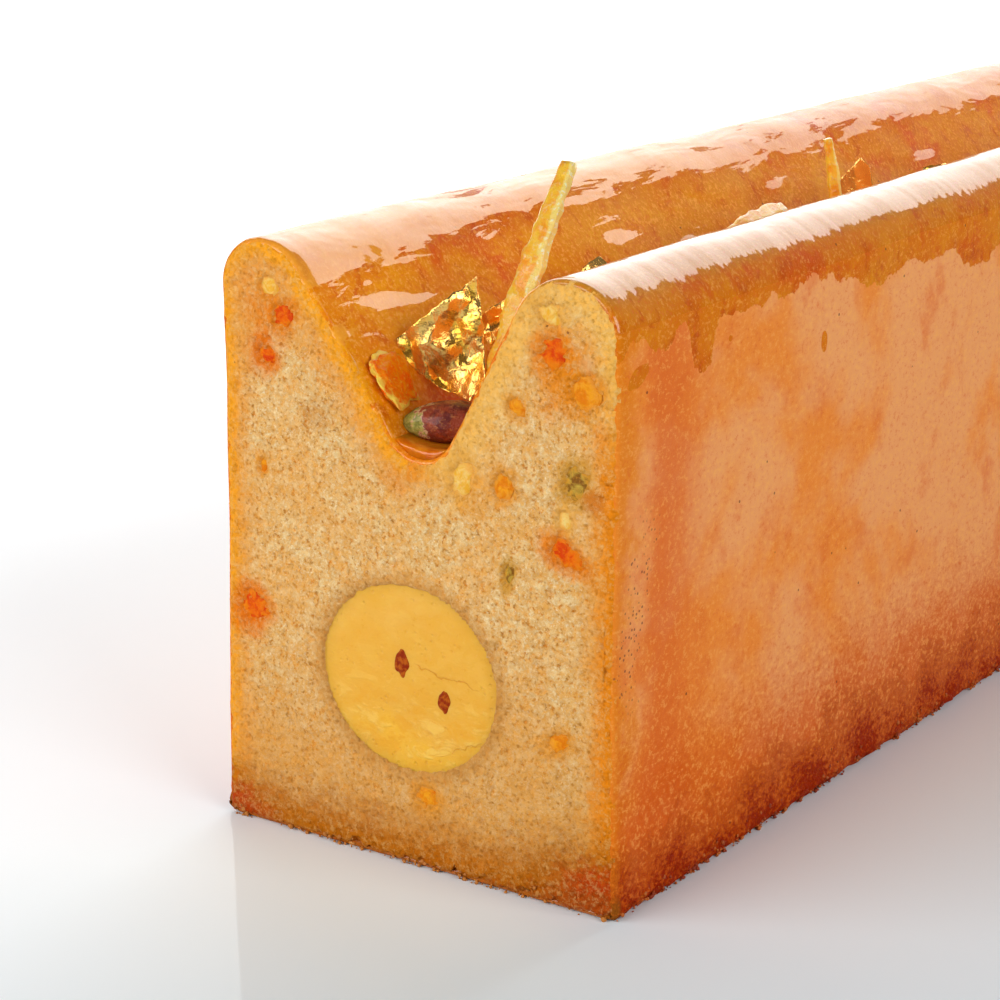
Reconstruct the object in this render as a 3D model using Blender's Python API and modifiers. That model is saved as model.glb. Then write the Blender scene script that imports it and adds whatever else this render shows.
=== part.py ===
"""Glazed travel cake: a long loaf with a grooved top, an oval filling bar and fruit in the groove.

The loaf is cut square at both ends, so the filling and the fruit baked into the crumb show there.
Candied peel, pistachios, soft fruit and gold leaf lie in the groove that runs along the top.

Units are metres. X runs across the loaf, Y along it, and Z up. The origin is the centre of the base.
"""

import math
import random

import bmesh
import bpy
from mathutils import Euler, Matrix, Vector, noise

MM = 0.001

# Loaf
LOAF_LENGTH = 240 * MM
BASE_HALF_WIDTH = 28 * MM
LEFT_TOP_HALF_WIDTH = 26.6 * MM
CREST_HEIGHT = 72 * MM
LEFT_CREST_X = -21 * MM
RIGHT_CREST_X = 21.2 * MM
RIDGE_INNER_RADIUS = 7.6 * MM
GROOVE_X = 1.5 * MM
GROOVE_FLOOR = 49.2 * MM
GROOVE_RADIUS = 4.7 * MM
FOOT_WIDTH = 1.6 * MM
FOOT_RAGGED = 0.5 * MM
CRUST_WAVE = 0.35 * MM
STATION_PITCH = 6 * MM
SIDE_LEVELS = (4 * MM, 20 * MM, 38 * MM, 54 * MM)

# Filling bar
FILLING_WIDTH = 25 * MM
FILLING_HEIGHT = 22.6 * MM
FILLING_Z = 23.1 * MM
FILLING_SIDES = 40

# Gold leaf, in millimetres but for its thickness
LEAF_THICKNESS = 0.3 * MM
LEAF_CELL = 1.7
LEAF_CRUMPLE = 1.3
FOLD_SLOPES = (0.25, 0.6)
TORN_CORNERS = 6
LARGE_LEAF_CORNERS = ((-4.7, -1), (-1.9, -4.1), (3.3, -7), (4.1, -5.2), (3.4, 1.2), (3, 6.9))

# Clearances and seeds
GAP = 0.3 * MM
CRUST_SEED = 11
FRONT = -LOAF_LENGTH / 2
BACK = LOAF_LENGTH / 2

COLOURS = {
    "crust": ((0.72, 0.30, 0.09), 0.35, 0.0),
    "filling": ((0.86, 0.56, 0.13), 0.45, 0.0),
    "peel": ((0.86, 0.52, 0.06), 0.40, 0.0),
    "fruit": ((0.74, 0.22, 0.02), 0.30, 0.0),
    "pistachio": ((0.24, 0.12, 0.07), 0.50, 0.0),
    "gold": ((0.90, 0.62, 0.16), 0.25, 1.0),
}


def clear_scene():
    for obj in list(bpy.data.objects):
        bpy.data.objects.remove(obj)


def make_material(name):
    colour, roughness, metallic = COLOURS[name]
    material = bpy.data.materials.new(name)
    material.use_nodes = True
    shader = material.node_tree.nodes["Principled BSDF"]
    shader.inputs["Base Color"].default_value = (*colour, 1)
    shader.inputs["Roughness"].default_value = roughness
    shader.inputs["Metallic"].default_value = metallic
    return material


def make_collection(name):
    collection = bpy.data.collections.new(name)
    bpy.context.scene.collection.children.link(collection)
    return collection


def object_from_bmesh(name, bm, material=None):
    """A named object in the loaf's collection, its faces pointing out."""
    bmesh.ops.recalc_face_normals(bm, faces=bm.faces)
    if bm.calc_volume(signed=True) < 0:
        bmesh.ops.reverse_faces(bm, faces=bm.faces)
    mesh = bpy.data.meshes.new(name)
    bm.to_mesh(mesh)
    bm.free()
    obj = bpy.data.objects.new(name, mesh)
    if material:
        mesh.materials.append(material)
    PARTS.objects.link(obj)
    return obj


def make_cutter(obj, name):
    """Moves an object to the cutters, hidden in renders and drawn as wire."""
    obj.name = name
    PARTS.objects.unlink(obj)
    CUTTERS.objects.link(obj)
    obj.hide_render = True
    obj.display_type = "WIRE"
    return obj


# Outline of the loaf


def arc(centre, radius, start, end, steps):
    """Points of an arc in the XZ plane, with its angles in degrees from +X."""
    angles = (math.radians(start + (end - start) * i / steps) for i in range(steps + 1))
    return [
        (centre[0] + radius * math.cos(a), centre[1] + radius * math.sin(a))
        for a in angles
    ]


def slope_normal(ridge, groove, side):
    """Angle of the normal to the straight slope between a ridge's arc and the groove's arc."""
    across, up = groove[0] - ridge[0], groove[1] - ridge[1]
    reach = math.acos((RIDGE_INNER_RADIUS + GROOVE_RADIUS) / math.hypot(across, up))
    return math.degrees(math.atan2(up, across) + side * reach)


def loaf_outline():
    """The loaf's section from the left foot over both ridges to the right foot, as (x, z)."""
    groove = (GROOVE_X, GROOVE_FLOOR + GROOVE_RADIUS)
    inner_height = CREST_HEIGHT - RIDGE_INNER_RADIUS
    left_inner = (LEFT_CREST_X, inner_height)
    right_inner = (RIGHT_CREST_X, inner_height)
    left_normal = slope_normal(left_inner, groove, 1)
    right_normal = slope_normal(right_inner, groove, -1) % 360
    left_outer_radius = LEFT_TOP_HALF_WIDTH + LEFT_CREST_X
    right_outer_radius = BASE_HALF_WIDTH - RIGHT_CREST_X
    left_outer = (LEFT_CREST_X, CREST_HEIGHT - left_outer_radius)
    right_outer = (RIGHT_CREST_X, CREST_HEIGHT - right_outer_radius)
    outline = [(-BASE_HALF_WIDTH + FOOT_WIDTH, 0), (-BASE_HALF_WIDTH, 0)]
    for level in SIDE_LEVELS:
        lean = (BASE_HALF_WIDTH - LEFT_TOP_HALF_WIDTH) * level / SIDE_LEVELS[-1]
        outline.append((-BASE_HALF_WIDTH + lean, level))
    outline += arc(left_outer, left_outer_radius, 180, 90, 5)
    outline += arc(left_inner, RIDGE_INNER_RADIUS, 90, left_normal, 4)[1:]
    outline += arc(groove, GROOVE_RADIUS, 180 + left_normal, 180 + right_normal, 8)
    outline += arc(right_inner, RIDGE_INNER_RADIUS, right_normal, 90, 4)
    outline += arc(right_outer, right_outer_radius, 90, 0, 5)[1:]
    outline += [(BASE_HALF_WIDTH, level) for level in reversed(SIDE_LEVELS)]
    outline += [(BASE_HALF_WIDTH, 0), (BASE_HALF_WIDTH - FOOT_WIDTH, 0)]
    return outline


def ruffle_crust(bm):
    """Waves in the ridges and sides, and a ragged foot. The base and the cut ends stay flat."""
    draw = random.Random(CRUST_SEED)
    for vert in bm.verts:
        x, y, z = vert.co
        if z > SIDE_LEVELS[0] / 2:
            wave = noise.noise(Vector((x * 60, y * 45, z * 60))) * CRUST_WAVE
            toward_top = z / CREST_HEIGHT
            vert.co.z += wave * toward_top
            if abs(x) < LEFT_TOP_HALF_WIDTH:
                vert.co.x += wave
            else:
                vert.co.x -= math.copysign(abs(wave), x)
        elif abs(x) > BASE_HALF_WIDTH - FOOT_WIDTH / 2:
            vert.co.x -= math.copysign(draw.uniform(0, FOOT_RAGGED), x)
            vert.co.z += draw.uniform(0, FOOT_RAGGED)


def build_loaf(material):
    """The outline drawn out along Y, sliced into stations and ruffled, with the end faces left flat."""
    curve = bpy.data.curves.new("loaf_outline", "CURVE")
    curve.dimensions = "2D"
    curve.fill_mode = "BOTH"
    curve.extrude = LOAF_LENGTH / 2
    outline = loaf_outline()
    spline = curve.splines.new("POLY")
    spline.points.add(len(outline) - 1)
    spline.use_cyclic_u = True
    for point, (x, z) in zip(spline.points, outline):
        point.co = (x, z, 0, 1)
    drawn = bpy.data.objects.new("loaf_outline", curve)
    bpy.context.scene.collection.objects.link(drawn)
    drawn.rotation_euler.x = math.pi / 2
    bpy.context.view_layer.update()
    graph = bpy.context.evaluated_depsgraph_get()
    mesh = bpy.data.meshes.new_from_object(drawn.evaluated_get(graph))
    mesh.transform(drawn.matrix_world)
    bm = bmesh.new()
    bm.from_mesh(mesh)
    bpy.data.objects.remove(drawn)
    bpy.data.meshes.remove(mesh)
    bmesh.ops.remove_doubles(bm, verts=bm.verts, dist=0.01 * MM)
    stations = round(LOAF_LENGTH / STATION_PITCH)
    for i in range(1, stations):
        bmesh.ops.bisect_plane(
            bm,
            geom=bm.verts[:] + bm.edges[:] + bm.faces[:],
            plane_co=(0, FRONT + i * STATION_PITCH, 0),
            plane_no=(0, 1, 0),
        )
    ruffle_crust(bm)
    bmesh.ops.triangulate(bm, faces=bm.faces)
    return object_from_bmesh("cake", bm, material)


def filling_bar(name, clearance, overrun, material=None):
    """The oval bar along the loaf. With clearance and overrun it is the tunnel that the bar lies in."""
    bm = bmesh.new()
    bmesh.ops.create_cone(
        bm,
        cap_ends=True,
        segments=FILLING_SIDES,
        radius1=1,
        radius2=1,
        depth=1,
        matrix=Matrix.Rotation(math.pi / 2, 4, "X"),
    )
    size = (
        FILLING_WIDTH / 2 + clearance,
        LOAF_LENGTH + 2 * overrun,
        FILLING_HEIGHT / 2 + clearance,
    )
    bmesh.ops.scale(bm, vec=size, verts=bm.verts)
    bmesh.ops.translate(bm, vec=(0, 0, FILLING_Z), verts=bm.verts)
    return object_from_bmesh(name, bm, material)


# Toppings


def from_front(x, distance, z):
    """A point from millimetres: across the loaf, behind the front cut, and above the base."""
    return Vector((x * MM, FRONT + distance * MM, z * MM))


def along(points, t):
    """Point and direction at share t of a smooth line through three points."""
    start, middle, end = points
    bend = 2 * middle - (start + end) / 2
    place = (1 - t) ** 2 * start + 2 * t * (1 - t) * bend + t**2 * end
    heading = (1 - t) * (bend - start) + t * (end - bend)
    return place, heading.normalized()


def peel_strip(name, points, width, thickness, face, material, twist=0.0, grow=0.0):
    """A strip of candied peel along a bent line, broad side to face, tapering to its far end."""
    segments = 12
    bm = bmesh.new()
    bmesh.ops.create_cube(bm, size=1)
    bmesh.ops.bevel(
        bm,
        geom=[e for e in bm.edges if abs(e.verts[0].co.z - e.verts[1].co.z) > 0.5],
        offset=0.22,
        segments=1,
        profile=0.5,
        affect="EDGES",
        material=-1,
    )
    for i in range(1, segments):
        bmesh.ops.bisect_plane(
            bm,
            geom=bm.verts[:] + bm.edges[:] + bm.faces[:],
            plane_co=(0, 0, i / segments - 0.5),
            plane_no=(0, 0, 1),
        )
    for vert in bm.verts:
        t = vert.co.z + 0.5
        place, heading = along(points, t)
        across = heading.cross(face).normalized()
        across.rotate(Matrix.Rotation(twist * t, 3, heading))
        out = across.cross(heading).normalized()
        taper = 1 - 0.55 * t**2.5
        uneven = 1 + 0.16 * noise.noise(Vector((t * 7, points[0].y * 300, 0)))
        end = (1 if t > 0.5 else -1) if t in (0, 1) else 0
        vert.co = (
            place
            + across * vert.co.x * (width * taper * uneven + 2 * grow)
            + out * vert.co.y * (thickness * (1 - 0.3 * t) * uneven + 2 * grow)
            + heading * end * grow
        )
    return object_from_bmesh(name, bm, material)


def kernel(name, centre, size, turn, material, grow=0.0):
    """A pistachio: an oval body drawn out to a blunt tip, with a seam along its length."""
    bm = bmesh.new()
    bmesh.ops.create_uvsphere(bm, u_segments=14, v_segments=10, radius=0.5)
    for vert in bm.verts:
        share = vert.co.z + 0.5
        vert.co.x *= 1.12 - 0.35 * share
        vert.co.y *= 1.10 - 0.30 * share
        seam = math.exp(-((vert.co.x / 0.07) ** 2)) if vert.co.y > 0 else 0
        vert.co.y *= 1 - 0.10 * seam
        vert.co = Vector(
            (a * (b + 2 * grow) for a, b in zip(vert.co, (size[1], size[2], size[0])))
        )
    place = Matrix.Translation(centre) @ Euler(turn).to_matrix().to_4x4()
    bmesh.ops.transform(bm, matrix=place, verts=bm.verts)
    return object_from_bmesh(name, bm, material)


def fruit_lump(name, centre, size, turn, seed, material, grow=0.0):
    """A soft lump of candied fruit: a rounded block pushed out of true."""
    bm = bmesh.new()
    bmesh.ops.create_icosphere(bm, subdivisions=2, radius=0.5)
    offset = Vector((seed * 3.1, seed * 1.7, seed * 0.9))
    for vert in bm.verts:
        squarer = Vector((math.copysign(abs(2 * c) ** 0.75 / 2, c) for c in vert.co))
        swell = 1 + 0.28 * noise.noise(vert.co * 2.2 + offset)
        vert.co = Vector((a * swell * b for a, b in zip(squarer, size)))
        vert.co += vert.co.normalized() * grow
    place = Matrix.Translation(centre) @ Euler(turn).to_matrix().to_4x4()
    bmesh.ops.transform(bm, matrix=place, verts=bm.verts)
    return object_from_bmesh(name, bm, material)


def slice_mesh(bm, place, normal, clear=False):
    """Cuts the whole mesh along a plane, and clears what lies beyond it if asked."""
    return bmesh.ops.bisect_plane(
        bm,
        geom=bm.verts[:] + bm.edges[:] + bm.faces[:],
        plane_co=place,
        plane_no=normal,
        clear_outer=clear,
    )


def torn_corners(width, height, draw):
    """Corners of a torn scrap, round its middle and in millimetres."""
    corners = []
    for i in range(TORN_CORNERS):
        angle = math.tau * (i + draw.uniform(-0.25, 0.25)) / TORN_CORNERS
        reach = draw.uniform(0.42, 0.55)
        corners.append((width * reach * math.cos(angle), height * reach * math.sin(angle)))
    return corners


def gold_leaf(name, centre, corners, fold_count, turn, draw, material):
    """A scrap of gold leaf: a thin sheet cut to its corners, with sharp folds across it."""
    reach = max(math.hypot(*corner) for corner in corners)
    cells = round(2 * reach / LEAF_CELL)
    bm = bmesh.new()
    bmesh.ops.create_grid(bm, x_segments=cells, y_segments=cells, size=reach)
    for (x1, y1), (x2, y2) in zip(corners, corners[1:] + corners[:1]):
        slice_mesh(bm, (x1, y1, 0), (y2 - y1, x1 - x2, 0), clear=True)
    folds = []
    for _ in range(fold_count):
        angle = draw.uniform(0, math.pi)
        across = Vector((math.cos(angle), math.sin(angle), 0))
        place = across * draw.uniform(-0.55, 0.55) * reach
        slice_mesh(bm, place, across)
        folds.append((across, place, draw.choice((-1, 1)) * draw.uniform(*FOLD_SLOPES)))
    bmesh.ops.remove_doubles(bm, verts=bm.verts, dist=LEAF_CELL / 6)
    for vert in bm.verts:
        flat = vert.co.copy()
        vert.co.z = sum(abs((flat - place).dot(across)) * slope for across, place, slope in folds)
        vert.co.z += noise.noise(flat * 0.6 + Vector((0, 0, reach * 7))) * LEAF_CRUMPLE
    middle = sum((v.co for v in bm.verts), Vector()) / len(bm.verts)
    bmesh.ops.translate(bm, vec=(0, 0, -middle.z), verts=bm.verts)
    bmesh.ops.scale(bm, vec=(MM, MM, MM), verts=bm.verts)
    bmesh.ops.triangulate(bm, faces=bm.faces)
    place = Matrix.Translation(centre) @ Euler(turn).to_matrix().to_4x4()
    bmesh.ops.transform(bm, matrix=place, verts=bm.verts)
    obj = object_from_bmesh(name, bm, material)
    solidify = obj.modifiers.new("Thickness", "SOLIDIFY")
    solidify.thickness = LEAF_THICKNESS
    solidify.offset = 0
    return obj


# Fruit baked into the crumb


def keep_inside(obj, end):
    """Trims a lump flush with the cut end, a hair inside it."""
    side = 1 if end > 0 else -1
    bm = bmesh.new()
    bm.from_mesh(obj.data)
    cut = bmesh.ops.bisect_plane(
        bm,
        geom=bm.verts[:] + bm.edges[:] + bm.faces[:],
        plane_co=(0, end, 0),
        plane_no=(0, side, 0),
        clear_outer=True,
    )
    rim = [e for e in cut["geom_cut"] if isinstance(e, bmesh.types.BMEdge)]
    bmesh.ops.edgeloop_fill(bm, edges=rim)
    bmesh.ops.triangulate(bm, faces=bm.faces)
    bmesh.ops.recalc_face_normals(bm, faces=bm.faces)
    bm.to_mesh(obj.data)
    bm.free()


# Name, millimetres across and up, width, height and depth, tilt in degrees, and what it is.
FRONT_LUMPS = (
    ("left_ridge_peel", -19.5, 66.5, 2.8, 3.0, 3.0, -25, "peel"),
    ("left_ridge_fruit", -17.6, 63.4, 4.0, 3.0, 3.4, -30, "fruit"),
    ("left_fleck", -20.0, 58.6, 3.2, 2.7, 2.6, 40, "fruit"),
    ("left_sliver", -21.0, 45.3, 1.4, 2.6, 2.0, 8, "peel"),
    ("left_low", -23.0, 27.5, 4.6, 4.6, 3.4, 35, "fruit"),
    ("right_ridge_peel", 19.2, 68.0, 4.4, 2.9, 3.4, 10, "peel"),
    ("right_ridge_fruit", 19.4, 63.9, 4.2, 4.6, 4.0, 25, "fruit"),
    ("right_neck", 23.6, 60.0, 4.4, 4.8, 3.6, -25, "fruit"),
    ("slope_spot", 14.8, 57.2, 2.7, 2.4, 2.4, 30, "peel"),
    ("under_groove", 7.5, 48.0, 3.4, 5.2, 3.4, 14, "peel"),
    ("middle", 13.1, 48.1, 3.0, 4.0, 3.0, 8, "fruit"),
    ("nut_shoulder", 22.6, 50.0, 3.8, 4.6, 3.6, 10, "pistachio"),
    ("peel_stick", 21.2, 45.6, 2.2, 3.0, 2.6, 5, "peel"),
    ("crescent", 21.4, 41.8, 5.6, 3.2, 3.2, 28, "fruit"),
    ("nut_fleck", 13.9, 38.1, 1.6, 3.8, 2.4, 8, "pistachio"),
    ("right_low", 20.7, 19.7, 3.8, 2.8, 2.8, -25, "fruit"),
    ("below_filling", 2.5, 9.0, 3.8, 3.2, 3.0, 0, "peel"),
)
BACK_LUMPS = (
    ("right_ridge", 20.4, 65.4, 5.0, 5.2, 4.0, 25, "fruit"),
    ("left_neck", -21.6, 59.6, 4.6, 6.2, 4.0, -20, "fruit"),
    ("left_shoulder", -22.6, 45.2, 4.0, 4.6, 3.4, 12, "pistachio"),
    ("middle", -10.2, 44.8, 3.8, 5.0, 3.2, 18, "peel"),
    ("right_shoulder", 21.4, 43.0, 5.6, 4.4, 3.4, -24, "fruit"),
    ("right_low", 19.0, 14.6, 4.2, 3.6, 3.0, -15, "fruit"),
    ("left_low", -20.8, 11.8, 3.4, 3.2, 2.8, 10, "pistachio"),
    ("below_filling", -2.6, 6.8, 4.4, 3.2, 3.0, 8, "peel"),
)


def build_lumps(prefix, rows, end, materials):
    """The lumps that show at one cut end, and a pocket for each in the crumb."""
    for number, row in enumerate(rows):
        label, x, z, width, height, depth, tilt, kind = row
        centre = Vector((x * MM, end, z * MM))
        size = (width * MM, 2 * depth * MM, height * MM)
        turn = (0, math.radians(tilt), 0)
        seed = number + (1 if end < 0 else 31)
        lump = fruit_lump(
            f"{prefix}_{label}", centre, size, turn, seed, materials[kind]
        )
        keep_inside(lump, end)
        pocket = fruit_lump("pocket", centre, size, turn, seed, None, grow=GAP)
        make_cutter(pocket, f"pocket_{prefix}_{label}")


# Strips of peel: name, a line of three points, width and thickness in millimetres, facing, twist.
STRIPS = (
    (
        "peel_front",
        ((3.7, 11.0, 51.6), (4.5, 15.4, 64.6), (4.3, 25.8, 79.3)),
        3.8, 1.6, (-0.2, -1, 0.6), 0.25,
    ),
    (
        "peel_leaning",
        ((5.8, 52.0, 53.6), (3.6, 64.0, 63.6), (2.0, 80.6, 66.0)),
        3.4, 1.6, (0.5, -0.4, 1), 0.2,
    ),
    (
        "peel_upright",
        ((0.6, 98.4, 50.4), (1.2, 97.8, 62.0), (0.0, 96.6, 73.2)),
        2.2, 1.5, (0.6, -1, 0), 0.4,
    ),
    (
        "peel_hooked",
        ((2.2, 101.4, 50.6), (3.2, 104.4, 57.0), (2.6, 109.6, 60.4)),
        2.2, 1.4, (0.6, -0.5, 0.6), -0.3,
    ),
    (
        "peel_far_leaning",
        ((-1.6, 150.0, 51.6), (-2.4, 160.0, 57.2), (-2.0, 173.0, 64.4)),
        3.6, 1.7, (-0.4, -0.5, 1), -0.2,
    ),
    (
        "peel_far_upright",
        ((1.4, 208.6, 50.4), (2.4, 209.4, 62.0), (3.8, 214.0, 74.2)),
        3.0, 1.5, (0.4, -1, 0.3), 0.3,
    ),
)

# Pistachios: name, centre, length, width and height in millimetres, and turn in degrees.
KERNELS = (
    ("pistachio_front", (1.0, 5.7, 52.4), (9.8, 5.8, 5.0), (94, 0, -65)),
    ("pistachio_second", (1.4, 44.0, 53.2), (13.6, 6.8, 5.8), (88, 20, 8)),
    ("pistachio_third", (1.6, 131.0, 53.2), (13.2, 6.6, 5.8), (92, -15, -14)),
    ("pistachio_fourth", (1.2, 191.0, 53.2), (13.8, 6.8, 5.6), (88, 10, 170)),
    ("pistachio_last", (1.8, 229.0, 53.3), (12.6, 6.6, 5.6), (86, 0, 22)),
)

# Soft fruit: name, centre, size in millimetres, turn in degrees.
FRUITS = (
    ("fruit_front", (-5.1, 4.2, 56.7), (1.8, 5.6, 6.0), (0, -35, 6)),
    ("fruit_second", (-4.4, 52.0, 57.0), (2.4, 10.0, 7.6), (0, -35, -5)),
    ("fruit_third", (7.6, 120.0, 58.2), (2.4, 9.0, 8.0), (0, 29, 4)),
    ("fruit_fourth", (-4.0, 182.0, 56.8), (2.6, 9.6, 8.4), (0, -35, 4)),
    ("fruit_last", (7.4, 222.0, 58.0), (2.4, 8.6, 7.4), (0, 29, -6)),
)

# Gold leaf: name, centre, width and height in millimetres, folds, turn in degrees, seed.
LEAVES = (
    ("gold_behind_peel", (0.2, 17.8, 61.8), (4.8, 6.6), 2, (70, 25, 20), 9),
    ("gold_peeping", (2.0, 37.8, 61.9), (5.0, 9.6), 3, (64, -14, 50), 5),
    ("gold_beads", (-0.4, 107.0, 65.0), (5.4, 8.0), 4, (66, 12, 30), 12),
    ("gold_low", (4.4, 119.0, 64.0), (6.0, 6.0), 3, (50, 20, 60), 14),
    ("gold_crumpled", (1.8, 129.6, 61.6), (7.4, 9.6), 4, (64, -14, 35), 21),
    ("gold_far", (0.6, 200.0, 61.4), (9.0, 11.0), 4, (66, 14, 140), 27),
)
LARGE_LEAF = ("gold_front", (-2.8, 11.2, 60.6), 4, (70, 4, 33), 4)


def build_toppings(materials):
    """What lies in the groove. Each firm piece also gets a seat, cut into the loaf's surface."""
    for name, line, width, thickness, face, twist in STRIPS:
        points = [from_front(*p) for p in line]
        sizes = (width * MM, thickness * MM, Vector(face).normalized())
        peel_strip(name, points, *sizes, materials["peel"], twist)
        seat = peel_strip("seat", points, *sizes, None, twist, grow=GAP)
        make_cutter(seat, f"seat_{name}")
    for name, centre, size, turn in KERNELS:
        place = (from_front(*centre), [s * MM for s in size])
        turned = [math.radians(a) for a in turn]
        kernel(name, *place, turned, materials["pistachio"])
        make_cutter(kernel("seat", *place, turned, None, grow=GAP), f"seat_{name}")
    for number, (name, centre, size, turn) in enumerate(FRUITS):
        place = (from_front(*centre), [s * MM for s in size])
        turned = [math.radians(a) for a in turn]
        fruit_lump(name, *place, turned, number + 61, materials["fruit"])
        seat = fruit_lump("seat", *place, turned, number + 61, None, grow=GAP)
        make_cutter(seat, f"seat_{name}")
    for name, centre, size, folds, turn, seed in LEAVES:
        draw = random.Random(seed)
        turned = [math.radians(a) for a in turn]
        corners = torn_corners(*size, draw)
        gold_leaf(name, from_front(*centre), corners, folds, turned, draw, materials["gold"])
    name, centre, folds, turn, seed = LARGE_LEAF
    turned = [math.radians(a) for a in turn]
    draw = random.Random(seed)
    corners = list(LARGE_LEAF_CORNERS)
    gold_leaf(name, from_front(*centre), corners, folds, turned, draw, materials["gold"])


def cut_loaf(loaf):
    """Cuts the tunnel, the pockets and the seats from the loaf in one Boolean."""
    cut = loaf.modifiers.new("Tunnel and pockets", "BOOLEAN")
    cut.operation = "DIFFERENCE"
    cut.operand_type = "COLLECTION"
    cut.collection = CUTTERS
    cut.solver = "EXACT"


def main():
    materials = {name: make_material(name) for name in COLOURS}
    loaf = build_loaf(materials["crust"])
    filling_bar("filling", 0, 0, materials["filling"])
    make_cutter(filling_bar("tunnel", GAP, 5 * MM), "tunnel")
    build_lumps("front", FRONT_LUMPS, FRONT, materials)
    build_lumps("back", BACK_LUMPS, BACK, materials)
    build_toppings(materials)
    cut_loaf(loaf)


clear_scene()
PARTS = make_collection("travel_cake")
CUTTERS = make_collection("cutters")
main()
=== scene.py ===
"""Looks of a glazed travel cake, laid out as an add-on and run as a script.

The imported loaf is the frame. Every piece here is in metres, in the same place as in the frame:
X runs across the loaf, Y along it and Z up, with the front cut at the lowest Y.
"""

import math
import random

import bmesh
import bpy
from bpy.props import FloatProperty, FloatVectorProperty, PointerProperty
from mathutils import Euler, Matrix, Vector, kdtree, noise


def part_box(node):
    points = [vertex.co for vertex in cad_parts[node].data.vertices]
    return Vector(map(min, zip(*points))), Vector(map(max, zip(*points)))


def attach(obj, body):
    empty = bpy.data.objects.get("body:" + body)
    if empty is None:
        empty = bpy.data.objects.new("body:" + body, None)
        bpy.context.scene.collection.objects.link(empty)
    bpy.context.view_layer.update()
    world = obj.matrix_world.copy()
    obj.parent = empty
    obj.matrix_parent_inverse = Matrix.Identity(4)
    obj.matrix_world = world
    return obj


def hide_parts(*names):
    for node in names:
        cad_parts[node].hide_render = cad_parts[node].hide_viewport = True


bl_info = {
    "name": "Travel cake",
    "version": (1, 0, 0),
    "blender": (4, 5, 0),
    "location": "View3D > Sidebar > Travel cake",
    "description": "Builds a glazed travel cake with a filling bar, baked fruit and toppings",
    "category": "Object",
}

MM = 0.001

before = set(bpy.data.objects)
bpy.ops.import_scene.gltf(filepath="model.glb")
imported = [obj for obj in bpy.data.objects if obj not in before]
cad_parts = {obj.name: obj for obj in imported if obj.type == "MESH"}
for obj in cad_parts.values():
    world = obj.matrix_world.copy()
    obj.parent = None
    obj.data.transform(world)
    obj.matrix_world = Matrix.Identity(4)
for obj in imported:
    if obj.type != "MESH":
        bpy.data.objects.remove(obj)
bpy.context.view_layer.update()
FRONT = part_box("cake")[0].y
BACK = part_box("cake")[1].y

# Section of the loaf, in millimetres, as in the frame
BASE_HALF_WIDTH = 28
LEFT_TOP_HALF_WIDTH = 26.6
CREST_HEIGHT = 72
LEFT_CREST_X = -21
RIGHT_CREST_X = 21.2
RIDGE_INNER_RADIUS = 7.6
GROOVE_X = 1.5
GROOVE_FLOOR = 49.2
GROOVE_RADIUS = 4.7
FOOT_WIDTH = 1.6
SIDE_LEVELS = (0.8, 54)
CRUST_WAVE = 0.35

# The sides' finish lies below this height and beyond this distance from the middle
SIDE_TOP = 66.8
SIDE_X = 25

# Filling bar, in millimetres
FILLING_WIDTH = 25
FILLING_HEIGHT = 22.6
FILLING_Z = 23.1
FILLING_OVAL = (0, FILLING_Z, FILLING_WIDTH, FILLING_HEIGHT, 0)
FILLING_RINGS = 28


# Values that a user would change


def length_property(name, description, millimetres):
    return FloatProperty(
        name=name, description=description, default=millimetres * MM, unit="LENGTH"
    )


def colour_property(name, description, default):
    return FloatVectorProperty(
        name=name, description=description, default=default, subtype="COLOR", size=3, min=0, max=1
    )


def light_property(name, description, default):
    return FloatProperty(name=name, description=description, default=default)


class CakeSizes(bpy.types.PropertyGroup):
    crust_step: length_property("Crust step", "Distance between points across the crust", 0.6)
    crust_pitch: length_property("Crust pitch", "Distance between stations along the crust", 1.25)
    lip: length_property("Lip", "Rounding of the crust where the loaf is cut", 0.75)
    foot: length_property("Ragged foot", "How far the crust is torn along its bottom edge", 0.7)
    crumb_grain: length_property("Crumb grain", "Size of the grid of the open crumb", 0.34)
    crumb_relief: length_property("Crumb relief", "Depth of the open crumb at the cuts", 0.18)
    leaf: length_property("Leaf thickness", "Thickness of the gold leaf", 0.07)


class CakeColours(bpy.types.PropertyGroup):
    crumb: colour_property("Crumb", "Middle of the cut crumb", (0.84, 0.46, 0.135))
    crumb_pale: colour_property("Pale crumb", "Light grains of the crumb", (0.98, 0.72, 0.37))
    crumb_deep: colour_property("Deep crumb", "Shaded pores of the crumb", (0.74, 0.26, 0.03))
    soaked: colour_property("Soaked crumb", "Crumb that has taken up syrup", (0.90, 0.38, 0.06))
    # The side colours below hold a painted pale pinkish sheen besides their own orange
    crust: colour_property("Crust", "Sides of the loaf", (0.89, 0.26, 0.035))
    crust_pale_sheen: colour_property("Pale crust", "Lighter parts of the sides", (0.90, 0.37, 0.13))
    crust_deep: colour_property("Deep crust", "Redder parts of the sides", (0.76, 0.13, 0.016))
    crust_low: colour_property("Low crust", "Sides above the foot", (0.68, 0.095, 0.002))
    crust_foot: colour_property("Foot", "Browned foot of the loaf", (0.38, 0.01, 0.0))
    amber: colour_property("Amber", "Glazed ridges and groove", (0.80, 0.23, 0.003))
    amber_deep: colour_property("Deep amber", "Redder patches of the ridges", (0.74, 0.10, 0.001))
    amber_pale: colour_property("Pale amber", "Lighter parts of the ridges", (0.82, 0.31, 0.012))
    filling: colour_property("Filling", "The filling bar", (0.86, 0.44, 0.045))
    rind: colour_property("Rind", "Outer side of the candied peel", (0.92, 0.36, 0.003))
    pith: colour_property("Pith", "Inner side of the candied peel", (0.95, 0.70, 0.18))
    fruit: colour_property("Fruit", "Soft fruit in the groove", (0.95, 0.15, 0.001))
    gold: colour_property("Gold", "Gold leaf", (1.0, 0.63, 0.17))


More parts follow.
